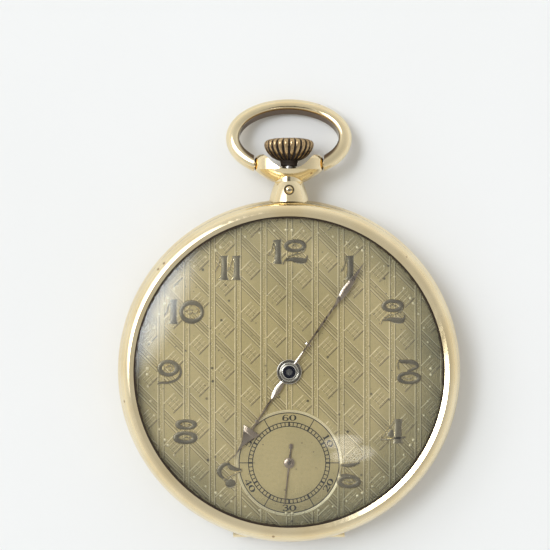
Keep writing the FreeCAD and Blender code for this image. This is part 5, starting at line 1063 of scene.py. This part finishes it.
# (radius in mm, share of the height, depth of the grooves in mm, share of each lobe kept in gold); the rest of
# each lobe is near-black, dirt in the grooves and painted shade over the lower half, where little gold is kept
CROWN_PROFILE = (
    (1.25, -0.01, 0.0, 0.1), (1.75, 0.04, 0.12, 0.16), (2.35, 0.15, 0.28, 0.26), (2.88, 0.32, 0.42, 0.36),
    (3.24, 0.50, 0.46, 0.46), (3.42, 0.68, 0.46, 0.55), (3.36, 0.82, 0.42, 0.62), (3.02, 0.93, 0.34, 0.70),
    (2.45, 0.985, 0.18, 0.8), (1.9, 0.998, 0.04, 1.1), (1.0, 1.0, 0.0, 1.1), (0.05, 1.0, 0.0, 1.1),
)
# The dark collar between the crown and the sleeve in the pendant: (radius, level above the crown's foot)
COLLAR = ((0.3, 0.02), (1.18, 0.02), (1.22, -0.25), (1.12, -0.35), (1.12, -0.75), (0.3, -0.75))


def crown():
    """A fluted onion of rounded lobes about the stem's axis, with old dirt packed in its grooves and painted
    shade spreading from them over its lower half.
    """
    foot, tip = low("crown"), high("crown")
    start, height = foot.y / MM, (tip.y - foot.y) / MM
    axis = (foot.z + tip.z) / 2 / MM
    around = CROWN_LOBES * POINTS_PER_LOBE
    rings = smooth_path(CROWN_PROFILE, 4)
    solid = Solid()
    darkened = []
    for radius, share, depth, gold_share in rings:
        for k in range(around):
            spread = 2 * (k % POINTS_PER_LOBE) / POINTS_PER_LOBE - 1
            reach = radius - depth * (1 - math.sqrt(1 - 0.97 * spread * spread))
            angle = TURN * k / around
            level = axis + reach * math.cos(angle)
            solid.points.append(mm(reach * math.sin(angle), start + height * share, level))
            darkened.append(abs(spread) > gold_share)
    solid.faces = tube_faces(len(rings), around)
    # Faces outside the gold share take the near-black paint: dirt in the grooves, painted shade low on the
    # crown
    solid.marks = [1 if len(face) == 4 and sum(darkened[i] for i in face) > 2 else 0 for face in solid.faces]
    ring = []
    for k in range(COLLAR_POINTS):
        angle = TURN * k / COLLAR_POINTS
        for radius, rise in COLLAR:
            ring.append(mm(radius * math.sin(angle), start + rise, axis + radius * math.cos(angle)))
    solid.add(ring, tube_faces(COLLAR_POINTS, len(COLLAR), closed=True), 1)
    solid.make("crown_fluted", [CROWN_GOLD, GRIME_AND_SHADE], "stem", ("crown",))


# Pendant screw -----------------------------------------------
# (radius, rise above the head's seat), and the slot's corners in plan
SCREW_DOME = ((0.54, 0.0), (0.54, 0.1), (0.47, 0.18), (0.33, 0.25), (0.16, 0.285), (0.02, 0.29), (0.02, 0.0))
SCREW_SLOT = ((-0.5, -0.07), (0.5, -0.07), (0.5, 0.07), (-0.5, 0.07))
SLOT_LEVELS = (0.1, 0.3)
SEAT_DEPTH = 0.12
SHANK_RADIUS, SHANK_BORE, SHANK_OVERLAP = 0.5, 0.02, 0.02


def pendant_screw():
    """The small screw in the neck: a domed head with a dark slot across it."""
    foot, tip = low("pendant_screw"), high("pendant_screw")
    x, y = (foot.x + tip.x) / 2 / MM, (foot.y + tip.y) / 2 / MM
    seat = tip.z / MM - SEAT_DEPTH
    solid = Solid()
    solid.add(*lathe([(radius, seat + rise) for radius, rise in SCREW_DOME], 48, (x, y)))
    tail, neck = foot.z / MM, seat + SHANK_OVERLAP
    shank = ((SHANK_RADIUS, tail), (SHANK_RADIUS, neck), (SHANK_BORE, neck), (SHANK_BORE, tail))
    solid.add(*lathe(shank, 32, (x, y)))
    corners = [mm(x + side, y + up, seat + rise) for rise in SLOT_LEVELS for side, up in SCREW_SLOT]
    solid.add(corners, tube_faces(2, 4), 1)
    solid.make("pendant_screw_domed", [GOLD, GRIME_AND_SHADE], "case", ("pendant_screw",))


# Hands -------------------------------------------------------
# Each hand is made of runs, each one smooth stretch: the share of its width that is flat on top, then its
# points as (distance from the axis, half width) in mm. The eye is a profile of (radius, rise above the hand).
MINUTE_RUNS = (
    (0.15, ((1.15, 0.16), (3.3, 0.15))),
    (0.75, ((3.34, 0.15), (4.3, 0.14))),
    (0.6, ((4.34, 0.38), (4.62, 0.38))),
    (0.75, ((4.66, 0.14), (8.0, 0.16), (10.9, 0.14))),
    (0.8, ((10.95, 0.15), (12.2, 0.37), (13.4, 0.48), (14.9, 0.35), (16.5, 0.16), (17.8, 0.04))),
)
HOUR_RUNS = (
    (0.05, ((1.5, 0.25), (2.7, 0.46), (3.6, 0.34), (4.3, 0.18))), (0.6, ((4.34, 0.17), (7.8, 0.15))),
    (0.6, ((7.84, 0.3), (8.1, 0.3))), (0.7, ((8.14, 0.15), (9.3, 0.17))),
    (0.86, ((9.32, 1.28), (9.8, 1.05), (10.5, 0.7), (11.3, 0.38), (12.1, 0.16), (13.93, 0.04))),
)
SECONDS_RUNS = (
    (0.8, ((-2.6, 0.21), (-1.95, 0.24))), (0.7, ((-1.9, 0.1), (0.0, 0.13), (5.7, 0.05))),
)
MINUTE_EYE = (
    (1.31, -0.13), (1.31, 0.02), (1.27, 0.13), (1.2, 0.16), (1.13, 0.11), (1.07, -0.01), (0.98, -0.01),
    (0.94, 0.14), (0.87, 0.19), (0.79, 0.14), (0.75, 0.0), (0.75, -0.13),
)
HOUR_EYE = (
    (1.69, -0.13), (1.69, -0.02), (1.66, 0.07), (1.60, 0.10), (1.53, 0.06), (1.48, -0.05), (1.30, -0.05),
    (1.12, -0.05), (1.12, -0.13),
)
SECONDS_EYE = (
    (0.72, -0.13), (0.72, -0.02), (0.64, 0.04), (0.2, 0.05), (0.14, 0.0), (0.14, -0.13),
)
HAND_DEPTH = 0.13
EDGE_DROP = 0.02
BOSS_DROP = 0.05
HAND_SIDES = 6


def hand(node, degrees, runs, eye, body, crest, drop=BOSS_DROP, axis=(0.0, 0.0)):
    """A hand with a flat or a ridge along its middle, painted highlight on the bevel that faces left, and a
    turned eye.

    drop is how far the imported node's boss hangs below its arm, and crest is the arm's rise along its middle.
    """
    base = low(node).z / MM + drop
    top = base + HAND_DEPTH
    angle = math.radians(90 - degrees)
    along, left = Vector((math.cos(angle), math.sin(angle))), Vector((-math.sin(angle), math.cos(angle)))
    # painted highlight: the bevel on the side that faces left, towards the light, takes the brighter paint
    lit = 3 if left.x < 0 else 1
    edge, middle = top - EDGE_DROP, top + crest
    solid = Solid()
    for flat, run in runs:
        section = ((-1, base), (-1, edge), (-flat, middle), (flat, middle), (1, edge), (1, base))
        for reach, half in smooth_path(run, 5) if len(run) > 2 else run:
            for side, level in section:
                spot = Vector(axis) + along * reach + left * side * half
                solid.points.append(mm(spot.x, spot.y, level))
    solid.faces = tube_faces(len(solid.points) // HAND_SIDES, HAND_SIDES)
    solid.marks = [1 if number % HAND_SIDES == lit else 0 for number in range(len(solid.faces))]
    solid.add(*lathe([(radius, top + rise) for radius, rise in eye], 72, axis), 2 if drop else 0)
    solid.make(node + "_shaped", [HAND_STEEL, HAND_HIGHLIGHT, BOSS_STEEL], body, (node,))


def hands():
    """The hands as the photo has them, at about five past seven."""
    hand("minute_hand", 34.5, MINUTE_RUNS, MINUTE_EYE, "cannon", 0.04)
    hand("hour_hand", 212.8, HOUR_RUNS, HOUR_EYE, "hour", 0.08)
    hand("seconds_hand", 186.5, SECONDS_RUNS, SECONDS_EYE, "fourth", 0.02, 0.0, (SECONDS_X, SECONDS_Y))


pattern()
strip_beads()
numerals()
minute_pips()
seconds_dial()
hands()
crown()
pendant_screw()
